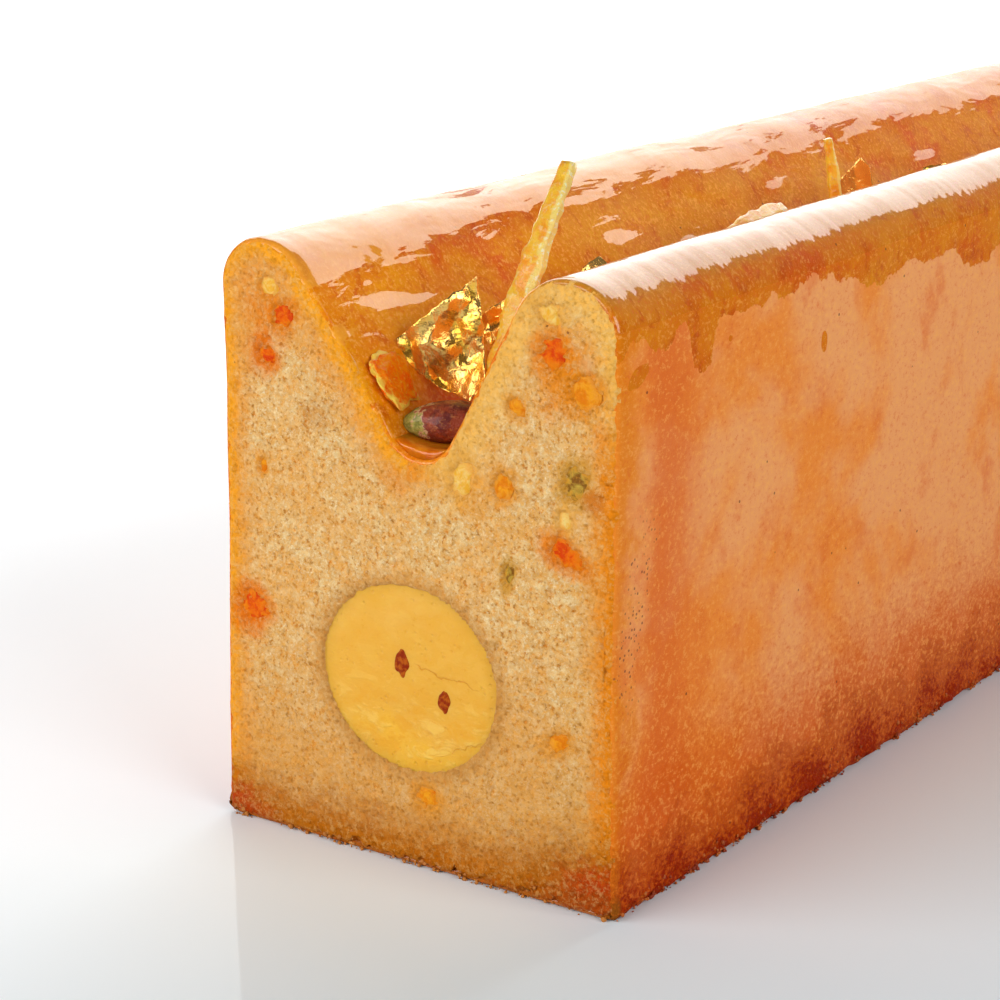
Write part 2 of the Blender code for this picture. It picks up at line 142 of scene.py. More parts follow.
class CakeLight(bpy.types.PropertyGroup):
    backdrop: light_property("Backdrop", "Brightness of the white panel behind", 3.7)
    fill: light_property("Fill", "Brightness of the soft light in front", 4.7)
    side: light_property("Side", "Brightness of the soft light at the right", 4.9)
    room: light_property("Room", "Brightness of the even light all round", 0.04)


# Materials


class Value:
    """A number that varies over a surface. Sums with it become maths nodes of its recipe."""

    def __init__(self, recipe, socket):
        self.recipe = recipe
        self.socket = socket

    def __add__(self, other):
        return self.recipe.maths("ADD", self, other)

    def __sub__(self, other):
        return self.recipe.maths("SUBTRACT", self, other)

    def __rsub__(self, other):
        return self.recipe.maths("SUBTRACT", other, self)

    def __mul__(self, other):
        return self.recipe.maths("MULTIPLY", self, other)

    def __truediv__(self, other):
        return self.recipe.maths("DIVIDE", self, other)

    def __pow__(self, other):
        return self.recipe.maths("POWER", self, other)

    def __abs__(self):
        return self.recipe.maths("ABSOLUTE", self)

    def or_more(self, other):
        return self.recipe.maths("MAXIMUM", self, other)

    def ramp(self, low, high, to_low=0, to_high=1):
        """The value drawn smoothly from one pair of limits to another."""
        made = self.recipe.node("ShaderNodeMapRange", interpolation_type="SMOOTHSTEP")
        for socket, value in zip(made.inputs, (self, low, high, to_low, to_high)):
            self.recipe.feed(socket, value)
        return Value(self.recipe, made.outputs["Result"])


class Recipe:
    """A material and the nodes that make its pattern. Patterns are read in millimetres."""

    def __init__(self, name, **finish):
        self.material = bpy.data.materials.new(name)
        self.material.use_nodes = True
        self.tree = self.material.node_tree
        self.shader = self.tree.nodes["Principled BSDF"]
        for socket, value in finish.items():
            self.shader.inputs[socket.replace("_", " ")].default_value = value
        scaled = self.node("ShaderNodeVectorMath", operation="SCALE")
        self.feed(scaled.inputs[0], self.node("ShaderNodeTexCoord").outputs["Object"])
        self.feed(scaled.inputs["Scale"], 1 / MM)
        self.place = scaled.outputs[0]
        split = self.node("ShaderNodeSeparateXYZ")
        self.feed(split.inputs[0], self.place)
        self.x, self.y, self.z = (Value(self, socket) for socket in split.outputs)

    def node(self, kind, **settings):
        made = self.tree.nodes.new(kind)
        for key, value in settings.items():
            setattr(made, key, value)
        return made

    def feed(self, socket, value):
        if isinstance(value, Value):
            value = value.socket
        if isinstance(value, bpy.types.NodeSocket):
            self.tree.links.new(value, socket)
        elif socket.type == "RGBA":
            socket.default_value = (*value[:3], 1)
        else:
            socket.default_value = value

    def vector(self, operation, a, b=(0, 0, 0)):
        made = self.node("ShaderNodeVectorMath", operation=operation)
        self.feed(made.inputs[0], a)
        self.feed(made.inputs[1], b)
        return made.outputs[0]

    def stretched(self, x, y, z):
        """The place with its axes scaled, so that a pattern runs along one of them."""
        return self.vector("MULTIPLY", self.place, (x, y, z))

    def noise(self, scale, detail=3, rough=0.55, place=None, distortion=0):
        made = self.node("ShaderNodeTexNoise")
        self.feed(made.inputs["Vector"], place or self.place)
        self.feed(made.inputs["Scale"], scale)
        self.feed(made.inputs["Detail"], detail)
        self.feed(made.inputs["Roughness"], rough)
        self.feed(made.inputs["Distortion"], distortion)
        return Value(self, made.outputs["Fac"])

    def cells(self, scale, output="Distance"):
        made = self.node("ShaderNodeTexVoronoi")
        self.feed(made.inputs["Vector"], self.place)
        self.feed(made.inputs["Scale"], scale)
        return Value(self, made.outputs[output])

    def maths(self, operation, a, b=0.0):
        made = self.node("ShaderNodeMath", operation=operation)
        self.feed(made.inputs[0], a)
        self.feed(made.inputs[1], b)
        return Value(self, made.outputs[0])

    def mix(self, share, a, b, blend="MIX"):
        made = self.node("ShaderNodeMix", data_type="RGBA", blend_type=blend)
        self.feed(made.inputs[0], share)
        self.feed(made.inputs[6], a)
        self.feed(made.inputs[7], b)
        return made.outputs[2]

    def tinted(self, colour, tint):
        return self.mix(1.0, colour, tint, "MULTIPLY")

    def layers(self, colour, *rows):
        """A colour with others laid over it, each by the share in its row."""
        for share, tone in rows:
            colour = self.mix(share, colour, tone)
        return colour

    def attribute(self, name, output="Fac"):
        return Value(self, self.node("ShaderNodeAttribute", attribute_name=name).outputs[output])

    def bump(self, height, distance, normal=None):
        """Relief of a height between 0 and 1, whose full depth is in millimetres."""
        made = self.node("ShaderNodeBump")
        self.feed(made.inputs["Height"], height)
        self.feed(made.inputs["Distance"], distance * MM)
        self.feed(made.inputs["Strength"], 1)
        if normal is not None:
            self.feed(made.inputs["Normal"], normal)
        return made.outputs["Normal"]

    def finish(self, **links):
        for socket, value in links.items():
            self.feed(self.shader.inputs[socket.replace("_", " ")], value)
        return self.material


# Lower edge of the thick glaze along the right side, below which the sides show their painted pale
# sheen: millimetres behind the front cut, and height
GLAZE_EDGE = (
    (0, 63.5), (1.2, 65.1), (2.9, 65.6), (6.1, 64.3), (8.6, 63.7), (10.2, 64.2), (13, 66.1),
    (14, 64.6), (14.6, 61), (16.2, 59.9), (18.2, 60.2), (19.3, 62.4), (20.4, 64.9), (21.8, 65.5),
    (24.7, 65), (28.5, 65.4), (30.1, 64.7), (33, 66.2), (34, 64.7), (37, 65), (42, 66.2),
    (44.5, 65.5), (46.2, 66.1), (48, 64.7), (52.6, 64), (58.7, 62.6), (66.7, 63.9), (72.3, 63),
    (78, 63.7), (82.7, 60.9), (88.7, 60.4), (93, 61.8), (100, 60.2), (104, 62.4), (113, 61.2),
    (117, 63.6), (124, 62.2), (128, 59.4), (131, 62.8), (141, 62), (149, 63.4), (153, 60.4),
    (158, 62.2), (170, 61.2), (176, 63.8), (183, 62.6), (188, 60.6), (196, 62.2), (207, 63.4),
    (212, 60.8), (219, 62.8), (228, 61.6), (234, 63.6), (240, 62.8),
)
# The lowest and highest that this edge may lie
EDGE_LOW, EDGE_HIGH = 56, 70
# Spots apart from the edges: millimetres behind the front cut, height, width, depth and tilt
DRIPS = ((3.8, 61.7, 4.2, 2.1, 22), (45.0, 57.8, 1.5, 2.6, 0), (23.0, 62.3, 0.8, 0.7, 0))
SHINES = (
    (11.5, 63.9, 17, 1.9, -6), (9.6, 66.1, 2.4, 0.9, 0), (62, 63.6, 9, 1.6, -5),
    (48, 59.4, 4, 1.1, 0), (76, 61.2, 3.5, 1.0, 0), (104, 65.0, 7, 1.4, 4), (150, 63.2, 8, 1.5, 0),
)


def spots(recipe, rows, ragged):
    """How far a point lies within any of the ragged oval spots."""
    along_loaf = recipe.y - FRONT / MM
    inside = 0.0
    for place, height, width, depth, tilt in rows:
        cos, sin = math.cos(math.radians(tilt)), math.sin(math.radians(tilt))
        dy = along_loaf - place
        dz = recipe.z - height
        across = dy * (2 * cos / width) + dz * (2 * sin / width)
        up = dz * (2 * cos / depth) - dy * (2 * sin / depth)
        inside = (across**2 + up**2 + ragged).ramp(1.06, 0.94).or_more(inside)
    return inside


def glaze_share(recipe):
    """How far a point lies within the thick glaze that has run down from the ridges, where the
    sides' painted sheen stops.
    """
    reach = (recipe.y - FRONT / MM) / ((BACK - FRONT) / MM)
    # The left side reads the same edge from further along
    shifted = recipe.maths("FRACT", reach + recipe.x.ramp(-5, 5, 0.37, 0))
    curve = recipe.node("ShaderNodeFloatCurve")
    points = curve.mapping.curves[0].points
    run = GLAZE_EDGE[-1][0]
    for place, height in GLAZE_EDGE:
        spot = (place / run, (height - EDGE_LOW) / (EDGE_HIGH - EDGE_LOW))
        if place == 0:
            points[0].location = spot
        elif place == run:
            points[-1].location = spot
        else:
            points.new(*spot)
    curve.mapping.update()
    recipe.feed(curve.inputs["Value"], shifted)
    comb = recipe.noise(0.6, 3, 0.6)
    edge = Value(recipe, curve.outputs[0]) * (EDGE_HIGH - EDGE_LOW) + EDGE_LOW
    inside = (recipe.z - (edge + comb.ramp(0.3, 0.7, -0.4, 0.4))).ramp(-0.07, 0.07)
    drips = spots(recipe, DRIPS, comb.ramp(0.3, 0.7, -0.2, 0.2)) * recipe.x.ramp(20, 24)
    return inside.or_more(drips)


def crust_look(recipe, colours, grain):
    """Colours of the crust: amber under thick glaze, orange sides with pale grain and a painted pale
    sheen, browned foot.
    """
    x, z = recipe.x, recipe.z
    clouds = recipe.noise(0.045, 4, 0.55, distortion=0.3)
    patches = recipe.noise(0.13, 5, 0.6, distortion=0.3)
    mottles = recipe.noise(0.33, 5, 0.65, distortion=0.5)
    behind = BACK / MM - abs(recipe.y)
    depth = behind + patches.ramp(0.3, 0.7, -2, 2)
    # The sides' crust colours carry a painted pale pinkish sheen, a reflection of the floor, as
    # their own coat is faint
    side = recipe.layers(
        colours.crust,
        ((clouds + depth.ramp(5, 70, -0.03, 0.1)).ramp(0.4, 0.6, 0, 0.95), colours.crust_pale_sheen),
        (patches.ramp(0.52, 0.72, 0, 0.5), colours.crust_deep),
        (depth.ramp(3, 8) * depth.ramp(22, 9, 0, 0.7), colours.crust_deep),
        (depth.ramp(5, 1, 0, 0.9), (0.82, 0.22, 0.008)),
    )
    deep = recipe.layers(
        colours.amber,
        (patches.ramp(0.48, 0.68, 0, 0.9), colours.amber_deep),
        (clouds.ramp(0.52, 0.34, 0, 0.7), colours.amber_pale),
        (mottles.ramp(0.52, 0.68, 0, 0.75), (0.62, 0.09, 0.001)),
        (mottles.ramp(0.46, 0.34, 0, 0.6), (0.88, 0.34, 0.01)),
        # Painted: the right crest's base is dulled where its highlight lies, so that the highlight
        # reads cream
        (z.ramp(69, 71, 0, 0.85) * x.ramp(5, 12), (0.64, 0.31, 0.05)),
    )
    band = recipe.tinted(deep, (0.88, 0.76, 0.4))
    # The inner slopes, redder and deeper by the cuts
    near = recipe.mix(z.ramp(46, 56), (1.14, 0.84, 0.1), (1.04, 1.12, 0.12))
    rich = recipe.tinted(deep, recipe.mix(behind.ramp(80, 12), (0.94, 1.06, 1.8), near))
    rich = recipe.mix(grain.ramp(0.5, 0.66, 0, 0.55), rich, (1.0, 0.46, 0.07))
    inner = z.ramp(40, 46) * z.ramp(70, 66) * abs(x).ramp(25, 21)
    low = z + patches.ramp(0.3, 0.7, -2.5, 3) + grain.ramp(0.35, 0.65, -2.5, 2.5)
    within = behind.ramp(0.2, 1.6, 0.45, 1)
    flecks = grain.ramp(0.51, 0.64) * low.ramp(1, 16, 0.3, 0.42)
    # A trail of dark specks beside each cut
    trail = abs(depth - z * 0.12).ramp(2.2, 0.8) * z.ramp(22, 28) * z.ramp(48, 42, 0, 0.75)
    colour = recipe.layers(
        side,
        (glaze_share(recipe), band),
        (inner, rich),
        (grain.ramp(0.46, 0.34, 0, 0.5), colours.crust_deep),
        (low.ramp(25, 6, 0, 0.85) * within, colours.crust_low),
        (low.ramp(7, -0.5, 0, 0.85) * within, colours.crust_foot),
        (behind.ramp(1.8, 0.6) * z.ramp(3.5, 1.5, 0, 0.9), (0.38, 0.11, 0.008)),
        (flecks, recipe.mix(low.ramp(12, 2), (0.98, 0.46, 0.11), (0.9, 0.13, 0.006))),
        (recipe.cells(0.22).ramp(0.045, 0.03, 0, 0.75), (0.1, 0.02, 0.01)),
        (trail * recipe.cells(1.5).ramp(0.3, 0.16), (0.16, 0.04, 0.03)),
    )
    return colour, low


CRUST_FINISH = {"IOR": 1.4, "Specular_IOR_Level": 0.04}


def ridge_material(colours):
    """The ridges and the groove, under a mirror of glaze with a rolling surface."""
    mirror = {"Coat_Weight": 1.0, "Coat_Roughness": 0.035, "Coat_IOR": 1.47}
    recipe = Recipe("glazed_ridge", **CRUST_FINISH, **mirror)
    x, y, z = recipe.x, recipe.y, recipe.z
    grain = recipe.noise(1.9, 4, 0.68)
    colour, _ = crust_look(recipe, colours, grain)
    rolling = recipe.noise(0.16, 2, 0.5, recipe.stretched(1.3, 0.5, 1.3), 0.6)
    surface = recipe.bump(rolling * x.ramp(-12, 4, 0.8, 0.16), 0.6)
    # Where the film lies thick it faces up and shines, and between such places it lies steeper
    film = recipe.noise(0.15, 5, 0.62, recipe.stretched(3, 0.55, 3), 0.5)
    limit = z.ramp(65.5, 71.5, 0.67, 0.34) + y.ramp(-116, -92, -0.08, 0.02)
    shines = spots(recipe, SHINES, film.ramp(0.35, 0.65, 0.7, -0.7)) * x.ramp(0, -4)
    thick = (film - limit).ramp(-0.004, 0.004).or_more(shines)
    slopes = abs(x - GROOVE_X).ramp(3.5, 6.5) * x.ramp(19, 16) * x.ramp(-26, -23)
    # Painted highlight: the base turns a lighter orange where the thick film shines
    lit = thick * slopes.ramp(0, 1, 0, 0.5) * y.ramp(-60, 0, 1, 0.6)
    combed = recipe.noise(0.45, 4, 0.75, recipe.stretched(0.08, 1.0, 0.08))
    thin = (1.0 - thick) * slopes.ramp(0, 1, 0, 0.75)
    sheer = x.ramp(14, 16) * x.ramp(23.5, 17, 0, 0.7)
    gloss = combed.ramp(0.35, 0.6, 0.85, 1) * x.ramp(-24.5, -18, 0.28, 1) * x.ramp(4, 8, 0.72, 1)
    gloss = gloss * (1.0 - thin) * (1.0 - sheer) * y.ramp(-90, 30, 1, 0.65)
    teeth = combed.ramp(0.3, 0.7, -0.15, 0.15) * x.ramp(16, 20)
    lift = recipe.node("ShaderNodeCombineXYZ")
    recipe.feed(lift.inputs["Z"], (thick * 0.8 - 0.3) * slopes + teeth)
    lifted = recipe.vector("NORMALIZE", recipe.vector("ADD", surface, lift.outputs[0]))
    return recipe.finish(
        Base_Color=recipe.mix(lit, colour, (1.0, 0.46, 0.05)),
        Roughness=grain.ramp(0.3, 0.7, 0.35, 0.6),
        Normal=recipe.bump(grain, 0.1, surface),
        Coat_Weight=gloss,
        Coat_Normal=lifted,
    )


def side_material(colours):
    """The sides of the loaf, thinly glazed over a fine grain, with their sheen painted into the
    colour, and rough at the foot.
    """
    recipe = Recipe("glazed_side", **CRUST_FINISH, Coat_Roughness=0.3, Coat_IOR=1.45)
    grain = recipe.noise(1.7, 5, 0.72, recipe.stretched(1.0, 0.8, 1.1))
    colour, low = crust_look(recipe, colours, grain)
    crumbly = recipe.noise(1.1, 5, 0.7) * low.ramp(10, 2, 0.1, 1)
    surface = recipe.bump(crumbly, 0.9, recipe.bump(recipe.noise(0.12, 2, 0.5), 0.06))
    return recipe.finish(
        Base_Color=colour,
        Roughness=grain.ramp(0.3, 0.7, 0.4, 0.65),
        Normal=recipe.bump(grain, 0.1, surface),
        Coat_Weight=low.ramp(4, 26, 0, 0.07),
        Coat_Normal=surface,
    )


def crumb_material(colours):
    """Open crumb of the cut faces, with soaked rims, the stains round the fruit, and painted shade
    in its pits and hollows.
    """
    recipe = Recipe("cut_crumb", Roughness=0.42, IOR=1.4, Specular_IOR_Level=0.06)
    fine = recipe.noise(1.7, 5, 0.78)
    grit = recipe.noise(4.2, 2, 0.6)
    holes = recipe.cells(1.7) + fine.ramp(0.35, 0.6, -0.2, 0.2)
    tone = recipe.cells(2.6, "Color") + fine.ramp(0.3, 0.7, -0.5, 0.5)
    pores = recipe.cells(0.9) + fine.ramp(0.35, 0.6, -0.16, 0.16)
    soft = recipe.noise(0.13, 3, 0.55)
    blots = recipe.noise(0.5, 3, 0.6, distortion=0.6)
    mid = recipe.noise(0.75, 3, 0.6)
    stain = recipe.attribute("stain", "Color")
    share = recipe.attribute("stain_share")
    worn = (share * fine.ramp(0.46, 0.68, 1, 0.5)).or_more(share.ramp(0.7, 1.0, 0, 0.75))
    colour = recipe.layers(
        colours.crumb_deep,
        (fine.ramp(0.3, 0.48), colours.crumb),
        (fine.ramp(0.46, 0.68, 0, 0.85), colours.crumb_pale),
        (tone.ramp(0.5, 1.2, 0, 0.35), (1.0, 0.8, 0.48)),
        (mid.ramp(0.51, 0.64, 0, 0.4), (1.0, 0.76, 0.38)),
        (mid.ramp(0.47, 0.36, 0, 0.4), (0.78, 0.36, 0.07)),
        (grit.ramp(0.58, 0.68, 0, 0.55), (1.0, 0.86, 0.6)),
        (grit.ramp(0.4, 0.3, 0, 0.4), (0.74, 0.32, 0.05)),
        # Painted shade: pits and pores are darkened as well as sunk by the bump
        (holes.ramp(0.26, 0.12, 0, 0.6), (0.72, 0.24, 0.02)),
        (pores.ramp(0.16, 0.06, 0, 0.7), (0.66, 0.24, 0.035)),
        (soft.ramp(0.4, 0.64, 0, 0.35), colours.soaked),
        (blots.ramp(0.55, 0.7, 0, 0.45), (0.8, 0.36, 0.06)),
        (recipe.z.ramp(34, 4, 0, 0.55), (0.74, 0.31, 0.045)),
        (worn, stain),
        (fine.ramp(0.5, 0.66, 0, 0.6) * share, recipe.mix(0.3, stain, (1.0, 0.76, 0.26))),
    )
    colour = recipe.layers(
        colour,
        # Painted shade: a darker copy of the colour in the low places of the grain
        (fine.ramp(0.44, 0.32, 0, 0.5), recipe.tinted(colour, (0.84, 0.6, 0.3))),
        (recipe.cells(0.16).ramp(0.035, 0.02, 0, 0.8), (0.24, 0.06, 0.02)),
    )
    height = fine + pores.ramp(0.02, 0.2, -0.3, 0)
    height = height + holes.ramp(0.05, 0.3, -0.3, 0) + tone.ramp(0.3, 1.2, 0, 0.3)
    return recipe.finish(Base_Color=colour, Normal=recipe.bump(height, 0.13))


def filling_material(colours):
    """Smooth set curd, a little paler in places, with scrape marks, pin holes and painted shade
    round its rim.
    """
    recipe = Recipe(
        "fruit_curd",
        Roughness=0.4,
        IOR=1.42,
        Specular_IOR_Level=0.3,
        Subsurface_Weight=0.4,
        Subsurface_Scale=0.0025,
        Subsurface_Radius=(1.0, 0.7, 0.2),
    )
    x, z = recipe.x, recipe.z
    smear = recipe.noise(0.09, 3, 0.5, distortion=0.4)
    dots = recipe.noise(0.8, 5, 0.7)
    strokes = recipe.noise(0.38, 4, 0.62, recipe.stretched(0.8, 1, 1.4), 0.5)
    tone = recipe.mix(z.ramp(15, 30), (0.93, 0.51, 0.03), (0.9, 0.49, 0.08))
    curdled = z.ramp(24, 17, 0.25, 1)
    light = strokes.ramp(0.5, 0.62, 0, 0.5) * curdled
    dark = strokes.ramp(0.46, 0.38, 0, 0.5) * curdled
    # Two fine cracks beside the pips: slope, height, and where they start and end
    wavy = recipe.noise(0.35, 3, 0.6).ramp(0.3, 0.7, -0.6, 0.6)
    cracks = 0.0
    for slope, height, start, end in ((0.2, 25.3, 1.5, 10.5), (-0.5, 12.2, 6.5, 11.5)):
        crack = abs(z + (x * slope + wavy) - height).ramp(0.16, 0.04, 0, 0.6)
        crack = crack * x.ramp(start - 1, start) * x.ramp(end, end - 2)
        cracks = crack.or_more(cracks)
    colour = recipe.layers(
        colours.filling,
        (smear.ramp(0.4, 0.62, 0, 0.7), tone),
        (dots.ramp(0.56, 0.7, 0, 0.4), (0.9, 0.54, 0.1)),
        (dots.ramp(0.42, 0.32, 0, 0.5), (0.78, 0.32, 0.012)),
        (light, (0.98, 0.64, 0.13)),
        (dark, (0.84, 0.36, 0.01)),
        (cracks, (0.76, 0.28, 0.006)),
        # Painted shade: the curd darkens towards its rim
        (recipe.attribute("rim") * dots.ramp(0.35, 0.6, 0.6, 1), (0.8, 0.38, 0.03)),
    )
    scrape = recipe.noise(0.3, 6, 0.65)
    pocked = recipe.noise(0.2, 3, 0.6).ramp(0.46, 0.6, 0.15, 1)
    pits = recipe.cells(1.1).ramp(0.08, 0.3, -0.35, 0) * pocked
    height = scrape + pits + light * 0.5 - cracks * 0.4
    return recipe.finish(Base_Color=colour, Normal=recipe.bump(height, 0.3))


def fruit_material(name, deep, light, edge):
    """Translucent candied fruit that turns into the colour of its edge towards the rim."""
    recipe = Recipe(
        name,
        Roughness=0.3,
        IOR=1.42,
        Specular_IOR_Level=0.08,
        Subsurface_Weight=0.2,
        Subsurface_Scale=0.001,
        Subsurface_Radius=(1.0, 0.35, 0.08),
    )
    veins = recipe.noise(0.8, 4, 0.6, distortion=0.8)
    fine = recipe.noise(2.4, 3, 0.6)
    faded = recipe.attribute("rim") + veins.ramp(0.3, 0.7, -0.3, 0.3)
    colour = recipe.layers(
        deep,
        (veins.ramp(0.38, 0.62), light),
        (fine.ramp(0.54, 0.68, 0, 0.5), edge),
        (faded.ramp(0.5, 0.95), edge),
    )
    return recipe.finish(Base_Color=colour, Normal=recipe.bump(veins + fine, 0.14))


def nut_material():
    """Pistachio: green flesh under a papery purple-brown skin with pale torn edges."""
    recipe = Recipe("pistachio", Roughness=0.4, IOR=1.45, Coat_Weight=0.3, Coat_Roughness=0.15)
    blotch = recipe.noise(0.42, 4, 0.65, distortion=0.6)
    fine = recipe.noise(1.6, 5, 0.7)
    bare = recipe.attribute("bare") + blotch.ramp(0.3, 0.7, -0.35, 0.35)
    flesh = recipe.mix(fine.ramp(0.4, 0.6), (0.24, 0.22, 0.02), (0.5, 0.42, 0.08))
    colour = recipe.layers(
        (0.38, 0.05, 0.008),
        (blotch.ramp(0.4, 0.6), (0.15, 0.008, 0.003)),
        (fine.ramp(0.52, 0.66, 0, 0.65), (0.6, 0.22, 0.06)),
        (bare.ramp(0.48, 0.54), flesh),
        (bare.ramp(0.36, 0.47) * bare.ramp(0.56, 0.48, 0, 0.9), (0.78, 0.48, 0.24)),
    )
    return recipe.finish(Base_Color=colour, Normal=recipe.bump(blotch + fine, 0.4))


def peel_material(colours):
    """Candied peel, orange rind to one side and pale sugary pith to the other."""
    recipe = Recipe(
        "candied_peel",
        Roughness=0.36,
        IOR=1.45,
        Subsurface_Weight=0.4,
        Subsurface_Scale=0.0018,
        Subsurface_Radius=(1.0, 0.6, 0.15),
        Coat_Weight=0.35,
        Coat_Roughness=0.15,
    )
    mottle = recipe.noise(0.5, 4, 0.6)
    sugar = recipe.noise(1.6, 4, 0.7)
    edge = recipe.attribute("pith") + mottle.ramp(0.3, 0.7, -0.25, 0.25)
    colour = recipe.layers(
        colours.rind,
        (mottle.ramp(0.38, 0.56), (0.94, 0.54, 0.02)),
        (edge.ramp(0.35, 0.75), colours.pith),
        (sugar.ramp(0.54, 0.62) * edge.ramp(0.4, 1.0, 0.3, 1), (0.98, 0.90, 0.62)),
    )
    return recipe.finish(Base_Color=colour, Normal=recipe.bump(sugar, 0.4))


def gold_material(colours):
    """Beaten gold leaf with fine creases."""
    recipe = Recipe("gold_leaf", Metallic=0.8, Roughness=0.15)
    wrinkles = recipe.noise(0.9, 4, 0.6, distortion=1.0)
    facets = recipe.cells(0.75) + wrinkles.ramp(0.3, 0.7, -0.5, 0.5) + recipe.cells(1.9) * 0.25
    tone = recipe.noise(0.3, 3, 0.6)
    colour = recipe.mix(tone.ramp(0.45, 0.65, 0, 0.8), colours.gold, (0.98, 0.52, 0.03))
    return recipe.finish(Base_Color=colour, Normal=recipe.bump(facets, 0.05))


def glaze_material():
    """Clear amber syrup that has set in the groove."""
    recipe = Recipe(
        "set_glaze",
        Roughness=0.08,
        IOR=1.46,
        Subsurface_Weight=0.5,
        Subsurface_Scale=0.002,
        Subsurface_Radius=(1.0, 0.4, 0.1),
    )
    ripple = recipe.noise(0.35, 3, 0.5)
    colour = recipe.mix(ripple.ramp(0.35, 0.65), (0.86, 0.28, 0.01), (0.7, 0.14, 0.002))
    return recipe.finish(Base_Color=colour, Normal=recipe.bump(ripple, 0.25))


def pip_material():
    """Dark dried pip."""
    recipe = Recipe("dark_pip", Roughness=0.4, IOR=1.4, Specular_IOR_Level=0.1)
    tone = recipe.noise(1.5, 3, 0.6)
    colour = recipe.mix(tone.ramp(0.4, 0.62), (0.28, 0.022, 0.001), (0.5, 0.1, 0.005))
    return recipe.finish(Base_Color=colour, Normal=recipe.bump(tone, 0.15))


def crumbs_material():
    """Loose browned crumbs at the foot, paler by the cuts."""
    recipe = Recipe("foot_crumbs", Roughness=0.6, IOR=1.4, Coat_Weight=0.2, Coat_Roughness=0.2)
    tone = recipe.noise(0.5, 2, 0.5)
    behind = BACK / MM - abs(recipe.y)
    colour = recipe.layers(
        (0.34, 0.035, 0.003),
        (tone.ramp(0.4, 0.62), (0.62, 0.15, 0.012)),
        (behind.ramp(0.7, 0.2), (0.58, 0.2, 0.025)),
    )
    return recipe.finish(Base_Color=colour, Normal=recipe.bump(recipe.noise(3.0, 3, 0.6), 0.3))


# Mesh helpers


def object_from(bm, name):
    """An object in the scene with the mesh that has been made."""
    mesh = bpy.data.meshes.new(name)
    bm.to_mesh(mesh)
    bm.free()
    obj = bpy.data.objects.new(name, mesh)
    bpy.context.scene.collection.objects.link(obj)
    return obj


def piece_from(bm, name, material, nodes):
    """A finished piece that stands for CAD nodes, riding on the loaf."""
    bmesh.ops.recalc_face_normals(bm, faces=bm.faces)
    if bm.calc_volume(signed=True) < 0:
        bmesh.ops.reverse_faces(bm, faces=bm.faces)
    for face in bm.faces:
        face.smooth = True
    piece = object_from(bm, name)
    piece.data.materials.append(material)
    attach(piece, "root")
    if nodes:
        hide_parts(*nodes)
    return piece


def grow(bm, edges):
    """New edges and points grown from open edges, still where those are."""
    grown = bmesh.ops.extrude_edge_only(bm, edges=edges)["geom"]
    new_edges = [g for g in grown if isinstance(g, bmesh.types.BMEdge)]
    new_verts = [g for g in grown if isinstance(g, bmesh.types.BMVert)]
    return new_edges, new_verts


def draw_along(bm, length, cuts):
    """Draws a section along the loaf and divides its sides evenly."""
    _, far = grow(bm, bm.edges[:])
    bmesh.ops.translate(bm, vec=(0, length, 0), verts=far)
    long_edges = [e for e in bm.edges if abs(e.verts[0].co.y - e.verts[1].co.y) > length / 2]
    bmesh.ops.subdivide_edges(bm, edges=long_edges, cuts=cuts, use_grid_fill=True)


def open_rim(bm, y):
    """The open edges at one end of a tube along the loaf."""
    return [e for e in bm.edges if e.is_boundary and abs(e.verts[0].co.y - y) < MM / 10]


def slice_mesh(bm, place, normal, clear=False):
    """Cuts the whole mesh along a plane, and clears what lies beyond it if asked."""
    everything = bm.verts[:] + bm.edges[:] + bm.faces[:]
    bmesh.ops.bisect_plane(bm, geom=everything, plane_co=place, plane_no=normal, clear_outer=clear)


def set_in_place(bm, verts, centre, turn):
    """Turns points by angles in degrees and moves them out to their centre."""
    angles = Euler([math.radians(a) for a in turn])
    place = Matrix.Translation(centre) @ angles.to_matrix().to_4x4()
    bmesh.ops.transform(bm, matrix=place, verts=verts)


def smoothstep(low, high, value):
    share = min(1.0, max(0.0, (value - low) / (high - low)))
    return share * share * (3 - 2 * share)


def noise_at(x, y, z, scale, seed=0.0):
    return noise.noise(Vector((x * scale + seed, y * scale - seed, z * scale + 2 * seed)))


# Section of the loaf


def arc(centre, radius, start, end, steps):
    """Points of an arc in the XZ plane, with its angles in degrees from +X."""
    angles = (math.radians(start + (end - start) * i / steps) for i in range(steps + 1))
    return [(centre[0] + radius * math.cos(a), centre[1] + radius * math.sin(a)) for a in angles]


def slope_normal(ridge, groove, side):
    """Angle of the normal to the straight slope between a ridge's arc and the groove's arc."""
    across, up = groove[0] - ridge[0], groove[1] - ridge[1]
    reach = math.acos((RIDGE_INNER_RADIUS + GROOVE_RADIUS) / math.hypot(across, up))
    return math.degrees(math.atan2(up, across) + side * reach)


